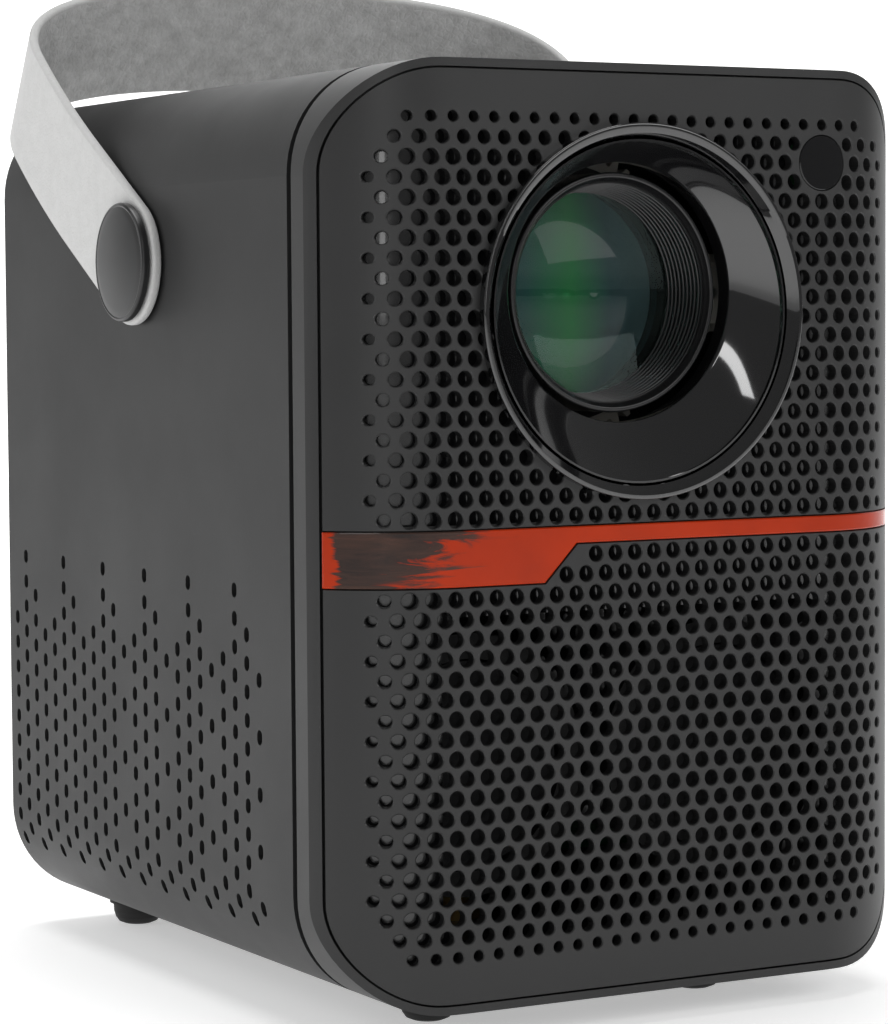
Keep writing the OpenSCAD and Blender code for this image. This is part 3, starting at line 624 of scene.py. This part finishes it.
# Floor in front of and behind the projector, its half width, the radius and height of its sweep, and its turn
FLOOR_NEAR, FLOOR_FAR, FLOOR_HALF, SWEEP, WALL_TOP = 6.0, 4.0, 7.0, 1.2, 5.0
FLOOR_TURN = math.radians(-29.0)
# Glow of the floor, and strength of the air's light where the camera doesn't see it
FLOOR_GLOW, AIR_LIGHT = 0.42, 0.16
CAMERA_LENS = 118.2
# The camera's heading clockwise from straight at the front, its tilt above the level, and its roll
CAMERA_HEADING, CAMERA_TILT, CAMERA_ROLL = (math.radians(angle) for angle in (28.97, -3.46, -0.38))
# Across, behind the front plane, above the floor, metres
CAMERA_SPOT = (-0.3495, -0.5491, 0.1395)
BACKDROP = Vector((1.6, 3.2, 0.8))
# Name, place, width and height, watts, spread in degrees
LIGHTS = (
    ("left_softbox", (-1.3, 0.45, 0.6), (0.7, 1.2), 4.2, 150.0),
    ("front_strip", (-0.75, -1.25, 0.65), (0.12, 1.1), 1.6, 140.0),
    ("right_softbox", (0.75, -1.35, 1.0), (1.5, 0.9), 7.0, 150.0),
    ("overhead", (0.0, 0.25, 1.6), (1.2, 1.0), 12.0, 160.0),
    ("backdrop_wash", (0.3, 1.4, 1.9), (2.2, 1.2), 110.0, 170.0),
)


class PROJECTOR_OT_stage(bpy.types.Operator):
    """Pale floor that sweeps up into a backdrop, soft studio lights and the camera"""

    bl_idname = "projector.stage"
    bl_label = "Studio"

    def execute(self, context):
        scene = context.scene
        scene.view_settings.view_transform = "Standard"
        # Floor profile: flat, then a quarter circle up to a wall
        a = np.radians(np.linspace(0, 90, 24))
        run = np.concatenate([[-FLOOR_NEAR], FLOOR_FAR + SWEEP * np.sin(a), [FLOOR_FAR + SWEEP]])
        rise = np.concatenate([[0.0], SWEEP * (1 - np.cos(a)), [WALL_TOP]])
        across = np.linspace(-FLOOR_HALF, FLOOR_HALF, 9)
        x, y = np.meshgrid(across, run)
        z = np.broadcast_to(rise[:, None], x.shape)
        points = np.stack([x, y, z], axis=-1).reshape(-1, 3)
        cosine, sine = math.cos(FLOOR_TURN), math.sin(FLOOR_TURN)
        points[:, :2] = points[:, :2] @ np.array([[cosine, sine], [-sine, cosine]])
        paper = finish("backdrop_paper", (0.93, 0.93, 0.93), rough=(0.9, 1.0), grain=900.0, depth=0.00001,
                       tone=0.005, tone_scale=3.0, Emission_Color=(1.0, 1.0, 1.0, 1.0),
                       Emission_Strength=FLOOR_GLOW)
        mesh = bpy.data.meshes.new("studio_floor")
        quads = grid_faces(len(run), len(across), wrap_columns=False)
        mesh.from_pydata(points.tolist(), [], quads.tolist())
        mesh.materials.append(paper)
        mesh.polygons.foreach_set("use_smooth", np.ones(len(mesh.polygons), bool))
        floor = bpy.data.objects.new("studio_floor", mesh)
        scene.collection.objects.link(floor)

        world = bpy.data.worlds.new("studio_air")
        scene.world = world
        world.use_nodes = True
        tree = world.node_tree
        tree.nodes["Background"].inputs["Color"].default_value = (1.0, 1.0, 1.0, 1.0)
        # The camera sees white air; the lighting it gives is dimmer
        path = add(tree, "ShaderNodeLightPath")
        tree.links.new(ramp(tree, path.outputs["Is Camera Ray"], AIR_LIGHT, 1.0, 0.0, 1.0),
                       tree.nodes["Background"].inputs["Strength"])

        target = Vector((0.0, FRONT_Y + 0.06, MIDDLE_Z))
        for name, place, size, power, spread in LIGHTS:
            lamp = bpy.data.lights.new(name, "AREA")
            lamp.shape, lamp.size, lamp.size_y = "RECTANGLE", size[0], size[1]
            lamp.energy, lamp.spread = power, math.radians(spread)
            holder = bpy.data.objects.new(name, lamp)
            scene.collection.objects.link(holder)
            holder.location = Vector(place)
            aim = BACKDROP if name == "backdrop_wash" else target
            holder.rotation_euler = (aim - Vector(place)).to_track_quat("-Z", "Y").to_euler()

        camera = bpy.data.cameras.new("camera")
        camera.lens, camera.sensor_width, camera.sensor_fit = CAMERA_LENS, 36.0, "AUTO"
        camera.clip_end = 50.0
        holder = bpy.data.objects.new("camera", camera)
        scene.collection.objects.link(holder)
        turned_camera = (Matrix.Rotation(-CAMERA_HEADING, 4, "Z")
                         @ Matrix.Rotation(math.pi / 2 + CAMERA_TILT, 4, "X")
                         @ Matrix.Rotation(CAMERA_ROLL, 4, "Z"))
        spot = Vector((CAMERA_SPOT[0], FRONT_Y + CAMERA_SPOT[1], CAMERA_SPOT[2]))
        holder.matrix_world = Matrix.Translation(spot) @ turned_camera
        scene.camera = holder
        return {"FINISHED"}


# Accent strip: heights above the middle, and the slanted end of its wide part
STRIP_TOP, STRIP_THIN, STRIP_TAB = 1.6 * MM, -1.56 * MM, -8.95 * MM
STRIP_LOW, STRIP_HIGH = -23.6 * MM, -16.5 * MM
STRIP_PROUD, STRIP_DEEP, STRIP_GAP, SEAT_SUNK = 0.15 * MM, 1.15 * MM, 0.2 * MM, 1.4 * MM
SENSOR_DEEP = 3.4 * MM
NO_POINTS = np.zeros((0, 2))


class PROJECTOR_OT_panel(bpy.types.Operator):
    """Perforated front panel, in two halves above and below the accent strip, with the strip's seat behind"""

    bl_idname = "projector.panel"
    bl_label = "Front panel"

    def execute(self, context):
        casing, grille, lens = settings().casing, settings().grille, settings().lens
        half_w = HALF_WIDTH - casing.panel_inset
        half_h = (TOP_OF_CASE - FLOOR_OF_CASE) / 2 - casing.panel_inset
        radius = casing.corner_radius - casing.panel_inset
        x, z, r = grille_lattice()
        sides = grille.hole_sides
        t = -np.arange(sides) * TAU / sides
        ring = np.stack([np.cos(t), np.sin(t)], axis=1)
        centres = np.stack([x, z], axis=1)[:, None, :]
        surface = centres + ring[None] * (r + grille.chamfer)[:, None, None]
        wall = centres + ring[None] * r[:, None, None]
        bezel_hole = lens.spigot_radius + 0.3 * MM
        sensor = sensor_spot()
        parts = []
        for low, high in ((STRIP_TOP + STRIP_GAP, None), (None, STRIP_THIN - STRIP_GAP)):
            outline = strip_half_outline(half_w, half_h, radius, low, high)
            mine = z > 0 if high is None else z < 0
            loops = [(shrink(outline, 0.12 * MM), outline)]
            loops += list(zip(surface[mine], wall[mine]))
            if high is None:
                for cx, cz, size, steps in ((LENS_X, lens.bezel_up, bezel_hole, 96),
                                            (*sensor, lens.sensor_radius + 0.1 * MM, 36)):
                    rim = circle_loop(cx, cz, size + 0.1 * MM, steps)
                    loops.append((rim, circle_loop(cx, cz, size, steps)))
            extra = filler_points(outline, centres[mine, 0], r[mine] + grille.chamfer, high is None)
            parts.append(pierced_sheet(loops, extra, casing.panel_thickness, 0.22 * MM))
        # Seat of the strip: a thin sheet behind it that reaches behind both halves
        end, lap, nook = half_w - 0.3 * MM, 1.0 * MM, 0.6 * MM
        seat = densify(np.array([
            (end, STRIP_TOP + lap), (-end, STRIP_TOP + lap), (-end, STRIP_TAB - lap),
            (STRIP_LOW + nook, STRIP_TAB - lap), (STRIP_HIGH + nook, STRIP_THIN - lap),
            (end, STRIP_THIN - lap)]))
        parts.append(pierced_sheet([(shrink(seat, 0.02 * MM), seat)], NO_POINTS, 2.3 * MM, 0.05 * MM,
                                   lift=-SEAT_SUNK))
        panel = sheet_object("front_panel_skin", parts, [MATERIALS["panel"]])
        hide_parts("front_panel")
        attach(panel, "casing")
        return {"FINISHED"}


def densify(corners, step=1.5 * MM):
    """Polygon with points added along its edges, none longer than step."""
    out = []
    for a, b in zip(corners, np.roll(corners, -1, axis=0)):
        n = max(1, int(math.ceil(np.linalg.norm(b - a) / step)))
        out.append(a + (b - a) * (np.arange(n) / n)[:, None])
    return np.concatenate(out)


def rounded_part(half_w, half_h, radius, sign):
    """The two rounded corners of the panel's outline at its top (sign 1) or bottom (-1), right to left."""
    a = np.radians(np.linspace(0, 90, 22))
    right = np.stack([half_w - radius + radius * np.cos(a), half_h - radius + radius * np.sin(a)], axis=1)
    return np.concatenate([right, right[::-1] * [-1, 1]]) * [1, sign]


def strip_half_outline(half_w, half_h, radius, low, high):
    """Outline of the panel above the strip, or below it with the step of the strip's wide end."""
    if high is None:
        corners = rounded_part(half_w, half_h, radius, 1)
        return densify(np.concatenate([[(half_w, low)], corners, [(-half_w, low)]]))
    corners = rounded_part(half_w, half_h, radius, -1)[::-1]
    tab = STRIP_TAB - STRIP_GAP
    step = [(half_w, high), (STRIP_HIGH + STRIP_GAP, high), (STRIP_LOW + STRIP_GAP, tab), (-half_w, tab)]
    return densify(np.concatenate([step, corners]))


# Holes in the longest row, and the pitches from the middle to the first hole of an even row
COLUMNS, HALF_ROW = 27, 13.25
# Sensor window on the hole lattice: pitches across, rows up
SENSOR_PLACE = (9.25, 19)


def sensor_spot():
    """Place of the sensor window on the hole lattice: across, and above the middle."""
    grille = settings().grille
    return SENSOR_PLACE[0] * grille.pitch, SENSOR_PLACE[1] * grille.pitch * grille.row_ratio


def grille_lattice():
    """Centres and radii of the grille holes. Rows alternate by half a pitch, hole size shrinks near the
    rounded border of the field, and holes under the strip, the bezel and the sensor are left out."""
    grille, lens = settings().grille, settings().lens
    p, row = grille.pitch, grille.pitch * grille.row_ratio
    rows = np.arange(-grille.rows, grille.rows + 1)
    k, i = (m.ravel() for m in np.meshgrid(rows, np.arange(COLUMNS), indexing="ij"))
    x = (i - np.where(np.abs(k) % 2 == 0, HALF_ROW, HALF_ROW - 0.5)) * p
    z = k * row
    border_w, border_h, border_r = HALF_ROW * p + 0.5 * MM, grille.rows * row + 0.8 * MM, 10 * MM
    qx, qz = np.abs(x) - border_w + border_r, np.abs(z) - border_h + border_r
    span = border_r - np.hypot(np.maximum(qx, 0), np.maximum(qz, 0)) - np.minimum(np.maximum(qx, qz), 0)
    diameter = np.minimum(0.70 * p, p * (0.45 + 36 * span))
    step = STRIP_LOW + (STRIP_HIGH - STRIP_LOW) * (z - STRIP_TAB) / (STRIP_THIN - STRIP_TAB)
    on_strip = (k == 0) | (((k == -1) | (k == -2)) & (x < step + 2.6 * MM))
    sensor = sensor_spot()
    hidden = (np.hypot(x - LENS_X, z - lens.bezel_up) < lens.bezel_radius - 1.2 * MM) | (
        np.hypot(x - sensor[0], z - sensor[1]) < lens.sensor_radius + 1.2 * MM)
    # Holes that would cut into the bezel's seat are left out too
    cut = np.hypot(x - LENS_X, z - lens.bezel_up) < lens.spigot_radius + diameter / 2 + 0.9 * MM
    keep = (span > 0) & ~on_strip & ~hidden & ~cut
    return x[keep], z[keep], diameter[keep] / 2


def filler_points(outline, centres, radii, upper):
    """Points of a fine grid that lie inside an outline and clear of every hole, so that the sheet bends
    smoothly."""
    lens = settings().lens
    step = 2.2 * MM
    gx, gz = np.meshgrid(np.arange(-30, 31) * step, np.arange(-41, 41) * step)
    points = np.stack([gx.ravel(), gz.ravel()], axis=1) + [0.37 * MM, 0.49 * MM]
    points = points[(points[:, 1] > outline[:, 1].min()) & (points[:, 1] < outline[:, 1].max())]
    away = np.full(len(points), 1.0)
    for start in range(0, len(centres), 100):
        some, size = centres[None, start:start + 100], radii[None, start:start + 100]
        away = np.minimum(away, (np.linalg.norm(points[:, None] - some, axis=2) - size).min(1))
    away = np.minimum(away, np.linalg.norm(points[:, None] - outline[None], axis=2).min(1))
    if upper:
        away = np.minimum(away, np.hypot(points[:, 0] - LENS_X, points[:, 1] - lens.bezel_up) - 34 * MM)
        sensor = sensor_spot()
        away = np.minimum(away, np.hypot(points[:, 0] - sensor[0], points[:, 1] - sensor[1]) - 6.2 * MM)
    return points[(away > 0.32 * step) & within(points, outline)]


class PROJECTOR_OT_accent(bpy.types.Operator):
    """Accent strip with its wide left end, and the sensor window"""

    bl_idname = "projector.accent"
    bl_label = "Accent strip"

    def execute(self, context):
        casing, lens = settings().casing, settings().lens
        half_w = HALF_WIDTH - casing.panel_inset
        outline = densify(np.array([
            (half_w, STRIP_TOP), (-half_w, STRIP_TOP), (-half_w, STRIP_TAB), (STRIP_LOW, STRIP_TAB),
            (STRIP_HIGH, STRIP_THIN), (half_w, STRIP_THIN)]), 1.2 * MM)
        part = pierced_sheet([(shrink(outline, 0.22 * MM), outline)], NO_POINTS, STRIP_DEEP, 0.2 * MM,
                             lift=STRIP_PROUD)
        strip = sheet_object("accent_inlay", [part], [MATERIALS["accent"]])
        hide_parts("accent_strip")
        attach(strip, "casing")
        cx, cz = sensor_spot()
        edge = circle_loop(cx, cz, lens.sensor_radius, 48, clockwise=False)
        rings = np.concatenate([circle_loop(cx, cz, k * MM, 24, False) for k in (1.2, 2.6, 4.0)])
        part = pierced_sheet([(circle_loop(cx, cz, lens.sensor_radius - 0.2 * MM, 48, False), edge)], rings,
                             SENSOR_DEEP, 0.2 * MM, lift=0.1 * MM)
        window = sheet_object("sensor_glass", [part], [MATERIALS["gloss"]])
        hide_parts("sensor_window")
        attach(window, "casing")
        return {"FINISHED"}


class PROJECTOR_OT_bezel(bpy.types.Operator):
    """Polished funnel round the lens"""

    bl_idname = "projector.bezel"
    bl_label = "Lens bezel"

    def execute(self, context):
        lens = settings().lens
        rise = LENS_Z - MIDDLE_Z - lens.bezel_up
        proud, outer = lens.bezel_proud, lens.bezel_radius
        lip = 0.45 * MM
        ring = [(outer, 0.0, 0.0)]
        ring += [(r, d, 0.0) for r, d in arc((outer - lip, -proud + lip), lip, 0, -90, 8)]
        crest = lens.mouth_radius + 0.35 * MM
        ring += [(crest - 0.1 * MM, -proud, -0.1 * MM)]
        # Funnel: radius and centre run from mouth to throat, bowed a little outwards
        s = np.linspace(0, 1, 30)
        bow = 0.5 * MM * np.sin(np.pi * s)
        radius = lens.mouth_radius + (lens.throat_radius - lens.mouth_radius) * s + bow
        depth = -proud + 0.35 * MM + (lens.throat_depth + proud - 0.35 * MM) * s
        shift = -lens.mouth_drop + (rise + lens.mouth_drop) * s
        ring += list(zip(radius, depth, shift))
        ring += [(lens.throat_radius - 0.12 * MM, lens.throat_depth + 0.25 * MM, rise),
                 (lens.throat_radius - 0.1 * MM, lens.throat_depth + 0.8 * MM, rise),
                 (lens.throat_radius, lens.throat_depth + 1.2 * MM, rise),
                 (lens.throat_radius, 12 * MM, rise), (lens.spigot_radius, 12 * MM, 0.0),
                 (lens.spigot_radius, 0.0, 0.0)]
        points, faces = turned(ring, (LENS_X, FRONT_Y, MIDDLE_Z + lens.bezel_up), sides=224)
        bezel = mesh_object("bezel_funnel", points, faces, [MATERIALS["bezel"]], smooth_angle=32.0)
        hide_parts("lens_bezel")
        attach(bezel, "casing")
        return {"FINISHED"}


# Inside of the barrel: its wall, the radii of its rear seat and tail, and the depths where bore and seat end
BARREL_WALL, SEAT_RADIUS, TAIL_RADIUS = 1.8 * MM, 19.5 * MM, 16 * MM
BORE_END, SEAT_END = 29 * MM, 44 * MM
BAFFLE_STEPS = 9


class PROJECTOR_OT_barrel(bpy.types.Operator):
    """Lens barrel with its broken rim, and the grooved light baffle inside it"""

    bl_idname = "projector.barrel"
    bl_label = "Lens barrel"

    def execute(self, context):
        low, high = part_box("lens_barrel")
        outer = (high.x - low.x) / 2
        front, end = low.y - FRONT_Y, high.y - FRONT_Y
        bore = outer - BARREL_WALL
        profile = [(TAIL_RADIUS, end), (outer, end), (outer, front + 0.7 * MM)]
        profile += list(map(tuple, arc((outer - 0.5 * MM, front + 0.5 * MM), 0.5 * MM, 0, -90, 7)))
        profile += list(map(tuple, arc((outer - 0.75 * MM, front + 0.35 * MM), 0.35 * MM, -90, -180, 5)))
        profile += [(bore + 0.15 * MM, front + 1.0 * MM), (bore, front + 1.4 * MM), (bore, BORE_END),
                    (SEAT_RADIUS, BORE_END), (SEAT_RADIUS, SEAT_END), (TAIL_RADIUS, SEAT_END)]
        points, faces = turned(profile, (LENS_X, FRONT_Y, LENS_Z), sides=192)
        barrel = mesh_object("barrel_tube", points, faces, [MATERIALS["barrel"]], smooth_angle=32.0)
        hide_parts("lens_barrel")
        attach(barrel, "lens_group")
        # Baffle: a cone cut into steps, each step a short tread and a steep riser
        low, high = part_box("lens_retainer")
        depth0, depth1 = low.y - FRONT_Y, high.y - FRONT_Y
        k = np.arange(BAFFLE_STEPS)
        tread = (depth1 - depth0) / BAFFLE_STEPS
        mouth, throat = bore - 0.3 * MM, bore - 1.8 * MM
        r0 = mouth + (throat - mouth) * k / BAFFLE_STEPS
        d0 = depth0 + tread * k
        cut = np.stack([np.stack([r0, d0], 1), np.stack([r0 + 0.05 * MM, d0 + tread * 0.7], 1),
                        np.stack([r0 - 0.16 * MM, d0 + tread * 0.8], 1)], axis=1).reshape(-1, 2)
        profile = [(bore - 0.05 * MM, depth1), (bore - 0.05 * MM, depth0), *map(tuple, cut), (throat, depth1)]
        points, faces = turned(profile, (LENS_X, FRONT_Y, LENS_Z), sides=128)
        baffle = mesh_object("barrel_baffle", points, faces, [MATERIALS["barrel"]], smooth_angle=25.0)
        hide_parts("lens_retainer")
        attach(baffle, "lens_group")
        return {"FINISHED"}


def strap_rows():
    """Stations of the strap from the right stud to the left: sideways place of the inner and the outer face,
    and distance along the lean of each. Straight to the shoulder, then a superellipse over the crown."""
    strap = settings().strap
    a = np.radians(np.linspace(0, 90, 61))[1:]
    power = 2 / strap.arch_power
    inner, outer = HALF_WIDTH + strap.side_gap, HALF_WIDTH + strap.side_gap + strap.thickness
    straight = np.linspace(0, strap.shoulder, 25)
    rows = []
    for half, top in ((inner, strap.reach), (outer, strap.reach + strap.thickness)):
        x = np.concatenate([np.full(25, half), half * np.cos(a) ** power])
        s = np.concatenate([straight, strap.shoulder + (top - strap.shoulder) * np.sin(a) ** power])
        x[-1] = 0.0
        rows.append(np.stack([np.concatenate([x, -x[-2::-1]]), np.concatenate([s, s[-2::-1]])], axis=1))
    return rows


def strap_place(x, along, across):
    """Strap coordinates into the model: across is the width, positive towards the casing's back, lowered by
    the lift of the crown, and the whole leans back about the studs."""
    strap = settings().strap
    past = np.maximum(0, along - strap.lift_start) / (strap.reach - strap.lift_start)
    lift = strap.crown_lift * past**2
    w = across - lift
    sine, cosine = math.sin(strap.lean), math.cos(strap.lean)
    return np.stack([x, STUD_Y + along * sine + w * cosine, STUD_Z + along * cosine - w * sine], axis=-1)


class PROJECTOR_OT_strap(bpy.types.Operator):
    """Carrying strap: leather outside, suede inside, rounded edges and ends"""

    bl_idname = "projector.strap"
    bl_label = "Strap"

    def execute(self, context):
        strap = settings().strap
        half, edge = strap.width / 2, strap.edge
        t = strap.thickness / 2
        # Half section from the middle of the outer face round the edge to the middle of the inner face
        flat = np.linspace(0, half - edge, 9)[:-1]
        bend = arc((half - edge, t - edge), edge, 90, 0, 5)
        section = np.concatenate([
            np.stack([flat, np.full(8, t)], 1), bend,
            (bend * [1, -1])[::-1], np.stack([flat[::-1], np.full(8, -t)], 1)])
        loop = np.concatenate([section, section[-2:0:-1] * [-1, 1]])
        inner, outer = strap_rows()
        share = ((loop[:, 1] + t) / (2 * t))[None, :]
        x = inner[:, :1] * (1 - share) + outer[:, :1] * share
        along = inner[:, 1:] * (1 - share) + outer[:, 1:] * share
        points = strap_place(x, along, np.broadcast_to(loop[:, 0][None, :], x.shape)).reshape(-1, 3)
        faces = grid_faces(len(inner), len(loop)).tolist()
        column = np.tile(np.arange(len(loop)), len(inner) - 1)
        kinds = strap_kinds(loop, column)
        # Round ends: the half section swung through half a turn about each stud
        swing = np.radians(np.linspace(0, 180, 33))[:, None]
        for side in (1, -1):
            across = section[None, :, 0] * np.cos(swing)
            along = -section[None, :, 0] * np.sin(swing)
            depth = np.broadcast_to(section[None, :, 1], across.shape)
            x = side * (HALF_WIDTH + strap.side_gap + t + depth)
            end = strap_place(x, along, across).reshape(-1, 3)
            faces += (grid_faces(33, len(section), wrap_columns=False) + len(points)).tolist()
            kinds = np.concatenate([kinds, strap_kinds(section, np.tile(np.arange(len(section) - 1), 32))])
            points = np.concatenate([points, end])
        made = mesh_object("strap_leather_band", points, faces,
                           [MATERIALS["leather"], MATERIALS["suede"], MATERIALS["leather_edge"]],
                           smooth_angle=50.0, weld=2e-6, indices=kinds)
        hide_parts("strap")
        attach(made, "strap")
        return {"FINISHED"}


def strap_kinds(section, column):
    """Finish of each face by its column: 0 on the outer face, 1 on the inner face, 2 on the edges."""
    n = len(section)
    here, after = section[column, 1], section[(column + 1) % n, 1]
    thick = np.abs(section[:, 1]).max() * 0.999
    return np.where((here > thick) & (after > thick), 0, np.where((here < -thick) & (after < -thick), 1, 2))


# Stud: radius of its shank, radius of its rolled edge, and rise of its dome
SHANK_RADIUS, STUD_ROLL, STUD_DOME = 3 * MM, 0.7 * MM, 0.55 * MM


class PROJECTOR_OT_studs(bpy.types.Operator):
    """The two studs that the strap turns on: a domed cap with a rolled edge on a shank"""

    bl_idname = "projector.studs"
    bl_label = "Strap studs"

    def execute(self, context):
        strap = settings().strap
        for side, node in ((-1, "strap_stud_left"), (1, "strap_stud_right")):
            low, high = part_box(node)
            radius = (high.z - low.z) / 2
            tip = max(abs(low.x), abs(high.x))
            root = min(abs(low.x), abs(high.x))
            under = HALF_WIDTH + 2 * strap.side_gap + strap.thickness
            dome = np.linspace(radius - STUD_ROLL, 0, 14)
            rim_top = tip - STUD_DOME
            crown = tip - STUD_DOME * (dome / dome[0]) ** 2
            profile = [(0.0, root), (SHANK_RADIUS, root), (SHANK_RADIUS, under), (radius - 0.3 * MM, under),
                       (radius, under + 0.3 * MM)]
            profile += list(map(tuple, arc((radius - STUD_ROLL, rim_top - STUD_ROLL), STUD_ROLL, 0, 78, 8)))
            # A shallow step sets the dome off from its rolled edge
            profile += [(dome[0] - 0.15 * MM, rim_top - 0.12 * MM)]
            profile += [(r, c - 0.05 * MM) for r, c in zip(dome[1:], crown[1:])]
            profile = np.array(profile) * [1, side]
            points, faces = turned(profile, (0.0, STUD_Y, STUD_Z), sides=96, closed=False, axis="x")
            name = "stud_cap_left" if side < 0 else "stud_cap_right"
            stud = mesh_object(name, points, faces, [MATERIALS["stud"]], smooth_angle=30.0)
            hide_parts(node)
            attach(stud, "casing")
        return {"FINISHED"}


class PROJECTOR_OT_finishes(bpy.types.Operator):
    """All finishes, and the finish of every part that keeps its own mesh"""

    bl_idname = "projector.finishes"
    bl_label = "Finishes"

    def execute(self, context):
        c = settings().colours
        made = MATERIALS
        made["casing"] = finish("casing_moulded", c.casing, rough=(0.42, 0.50), grain=2400.0, depth=0.000010,
                                tone=0.05, dust=0.05, Specular_IOR_Level=0.33)
        made["frame"] = finish("frame_moulded", shaded(c.casing, 0.85), rough=(0.40, 0.48), depth=0.000008,
                               tone=0.05)
        made["panel"] = finish("panel_moulded", c.panel, rough=(0.40, 0.48), depth=0.000007, tone=0.06)
        made["backing"] = finish("backing_gloss_sheet", (0.012, 0.012, 0.013), rough=(0.16, 0.24),
                                 depth=0.000002, Coat_Weight=0.4)
        made["gloss"] = finish("polished_black", c.gloss, rough=(0.05, 0.08), depth=0.0000008, tone=0.1,
                               dust=0.02)
        made["bezel"] = finish("bezel_polished", c.gloss, rough=(0.06, 0.09), depth=0.0000006, tone=0.1,
                               dust=0.03, Coat_Weight=1.0, Coat_Roughness=0.03, IOR=1.6)
        made["accent"] = accent_finish()
        made["barrel"] = finish("barrel_satin_black", (0.008, 0.008, 0.0085), rough=(0.22, 0.3),
                                depth=0.000002)
        made["inner"] = finish("inner_plastic_matte", (0.012, 0.012, 0.013), rough=(0.5, 0.6))
        made["leather"] = leather_finish("strap_leather_outer", c.leather, (0.55, 0.68), 0.00006, 900.0, 0.05,
                                         0.15)
        made["leather_edge"] = leather_finish("strap_leather_edge", shaded(c.leather, 0.92), (0.6, 0.75),
                                              0.00005, 1300.0, 0.06, 0.1)
        made["suede"] = leather_finish("strap_suede_inner", c.suede, (0.85, 0.98), 0.00012, 700.0, 0.22, 0.35)
        made["stud"] = finish("stud_black_satin", (0.014, 0.014, 0.0145), rough=(0.30, 0.38), depth=0.000004)
        made["rubber"] = finish("foot_rubber_matte", c.rubber, rough=(0.6, 0.75), grain=1500.0, depth=0.00002)
        made["key"] = finish("key_moulded", (0.03, 0.03, 0.031), rough=(0.34, 0.42), depth=0.000005)
        made["board"] = board_finish()
        made["coated"] = glass_finish("front_glass_coated", (0.80, 0.97, 0.93), ior=1.27)
        # Middle glass: the coating's coloured reflections painted across it as base colour
        made["middle_coated"] = painted_reflection_glass_finish("middle_glass_painted_reflection")
        made["clear"] = glass_finish("clear_optic", (0.95, 0.97, 0.98))
        made["display"] = finish("display_glass", (0.02, 0.025, 0.04), rough=(0.06, 0.1), depth=0.000001)
        made["dark_steel"] = finish("blackened_steel", (0.006, 0.006, 0.006), rough=(0.5, 0.6))
        made["steel"] = finish("plated_steel", (0.55, 0.55, 0.56), rough=(0.22, 0.34), grain=1800.0,
                               metallic=1.0, stretch=(1.0, 6.0, 1.0))
        made["aluminium"] = finish("extruded_aluminium", (0.62, 0.63, 0.65), rough=(0.3, 0.42), metallic=1.0,
                                   stretch=(5.0, 1.0, 5.0), tone=0.06)
        made["brass"] = finish("turned_brass", (0.72, 0.50, 0.19), rough=(0.25, 0.35), metallic=1.0,
                               stretch=(1.0, 1.0, 8.0))
        made["gear"] = finish("gear_acetal", (0.62, 0.60, 0.54), rough=(0.4, 0.5))
        made["led"] = finish("led_substrate_yellow", (0.75, 0.62, 0.18), rough=(0.3, 0.4))
        made["cone"] = finish("cone_paper_black", (0.02, 0.02, 0.021), rough=(0.8, 0.9), grain=1400.0,
                              depth=0.00004, tone=0.2)
        made["magnet"] = finish("magnet_ferrite", (0.06, 0.06, 0.062), rough=(0.5, 0.6), grain=1200.0,
                                depth=0.00002)
        made["screw"] = finish("screw_black_oxide", (0.03, 0.03, 0.031), rough=(0.3, 0.4), metallic=0.8)
        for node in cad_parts.values():
            for place in node.material_slots:
                slot = place.material.name.split(".")[0]
                if slot in SLOT_FINISH:
                    place.material = made[SLOT_FINISH[slot]]
        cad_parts["middle_lens"].material_slots[0].material = made["middle_coated"]
        for name in ("speaker_frames", "speaker_magnets"):
            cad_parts[name].material_slots[0].material = made["dark_steel"]
        return {"FINISHED"}


MATERIALS = {}
SLOT_FINISH = {
    "casing_plastic": "casing", "frame_plastic": "frame", "panel_plastic": "panel",
    "backing_gloss": "backing", "accent_gloss": "accent", "sensor_gloss": "gloss", "circuit_board": "board",
    "bezel_gloss": "bezel", "inner_plastic": "inner", "barrel_black": "barrel", "coated_glass": "coated",
    "clear_glass": "clear", "lcd_glass": "display", "gear_plastic": "gear", "steel": "steel",
    "led_substrate": "led", "bare_aluminium": "aluminium", "fan_plastic": "inner", "cone_paper": "cone",
    "magnet": "magnet", "black_screw": "screw", "key_plastic": "key", "brass_insert": "brass",
    "foot_rubber": "rubber", "strap_leather": "leather", "stud_black": "stud",
}


class PROJECTOR_PT_sidebar(bpy.types.Panel):
    """Lists every step and the settings"""

    bl_idname = "PROJECTOR_PT_sidebar"
    bl_label = "Home projector"
    bl_space_type = "VIEW_3D"
    bl_region_type = "UI"
    bl_category = "Projector"

    def draw(self, context):
        for step in STEPS:
            self.layout.operator(step.bl_idname)
        for group in ("casing", "grille", "lens", "strap", "colours"):
            box = self.layout.box()
            owner = getattr(context.scene.projector, group)
            for name in owner.bl_rna.properties.keys():
                if name not in ("rna_type", "name"):
                    box.prop(owner, name)


STEPS = (PROJECTOR_OT_stage, PROJECTOR_OT_finishes, PROJECTOR_OT_panel, PROJECTOR_OT_accent,
         PROJECTOR_OT_bezel, PROJECTOR_OT_barrel, PROJECTOR_OT_strap, PROJECTOR_OT_studs)
GROUPS = (CasingSizes, GrilleSizes, LensSizes, StrapSizes, Colours, ProjectorSettings)


def register():
    for kind in GROUPS + STEPS + (PROJECTOR_PT_sidebar,):
        bpy.utils.register_class(kind)
    bpy.types.Scene.projector = bpy.props.PointerProperty(
        type=ProjectorSettings, name="Projector", description="Settings of the home projector")


def unregister():
    del bpy.types.Scene.projector
    for kind in reversed(GROUPS + STEPS + (PROJECTOR_PT_sidebar,)):
        bpy.utils.unregister_class(kind)


def main():
    """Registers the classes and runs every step."""
    register()
    for step in STEPS:
        family, name = step.bl_idname.split(".")
        getattr(getattr(bpy.ops, family), name)()


if __name__ == "__main__":
    main()
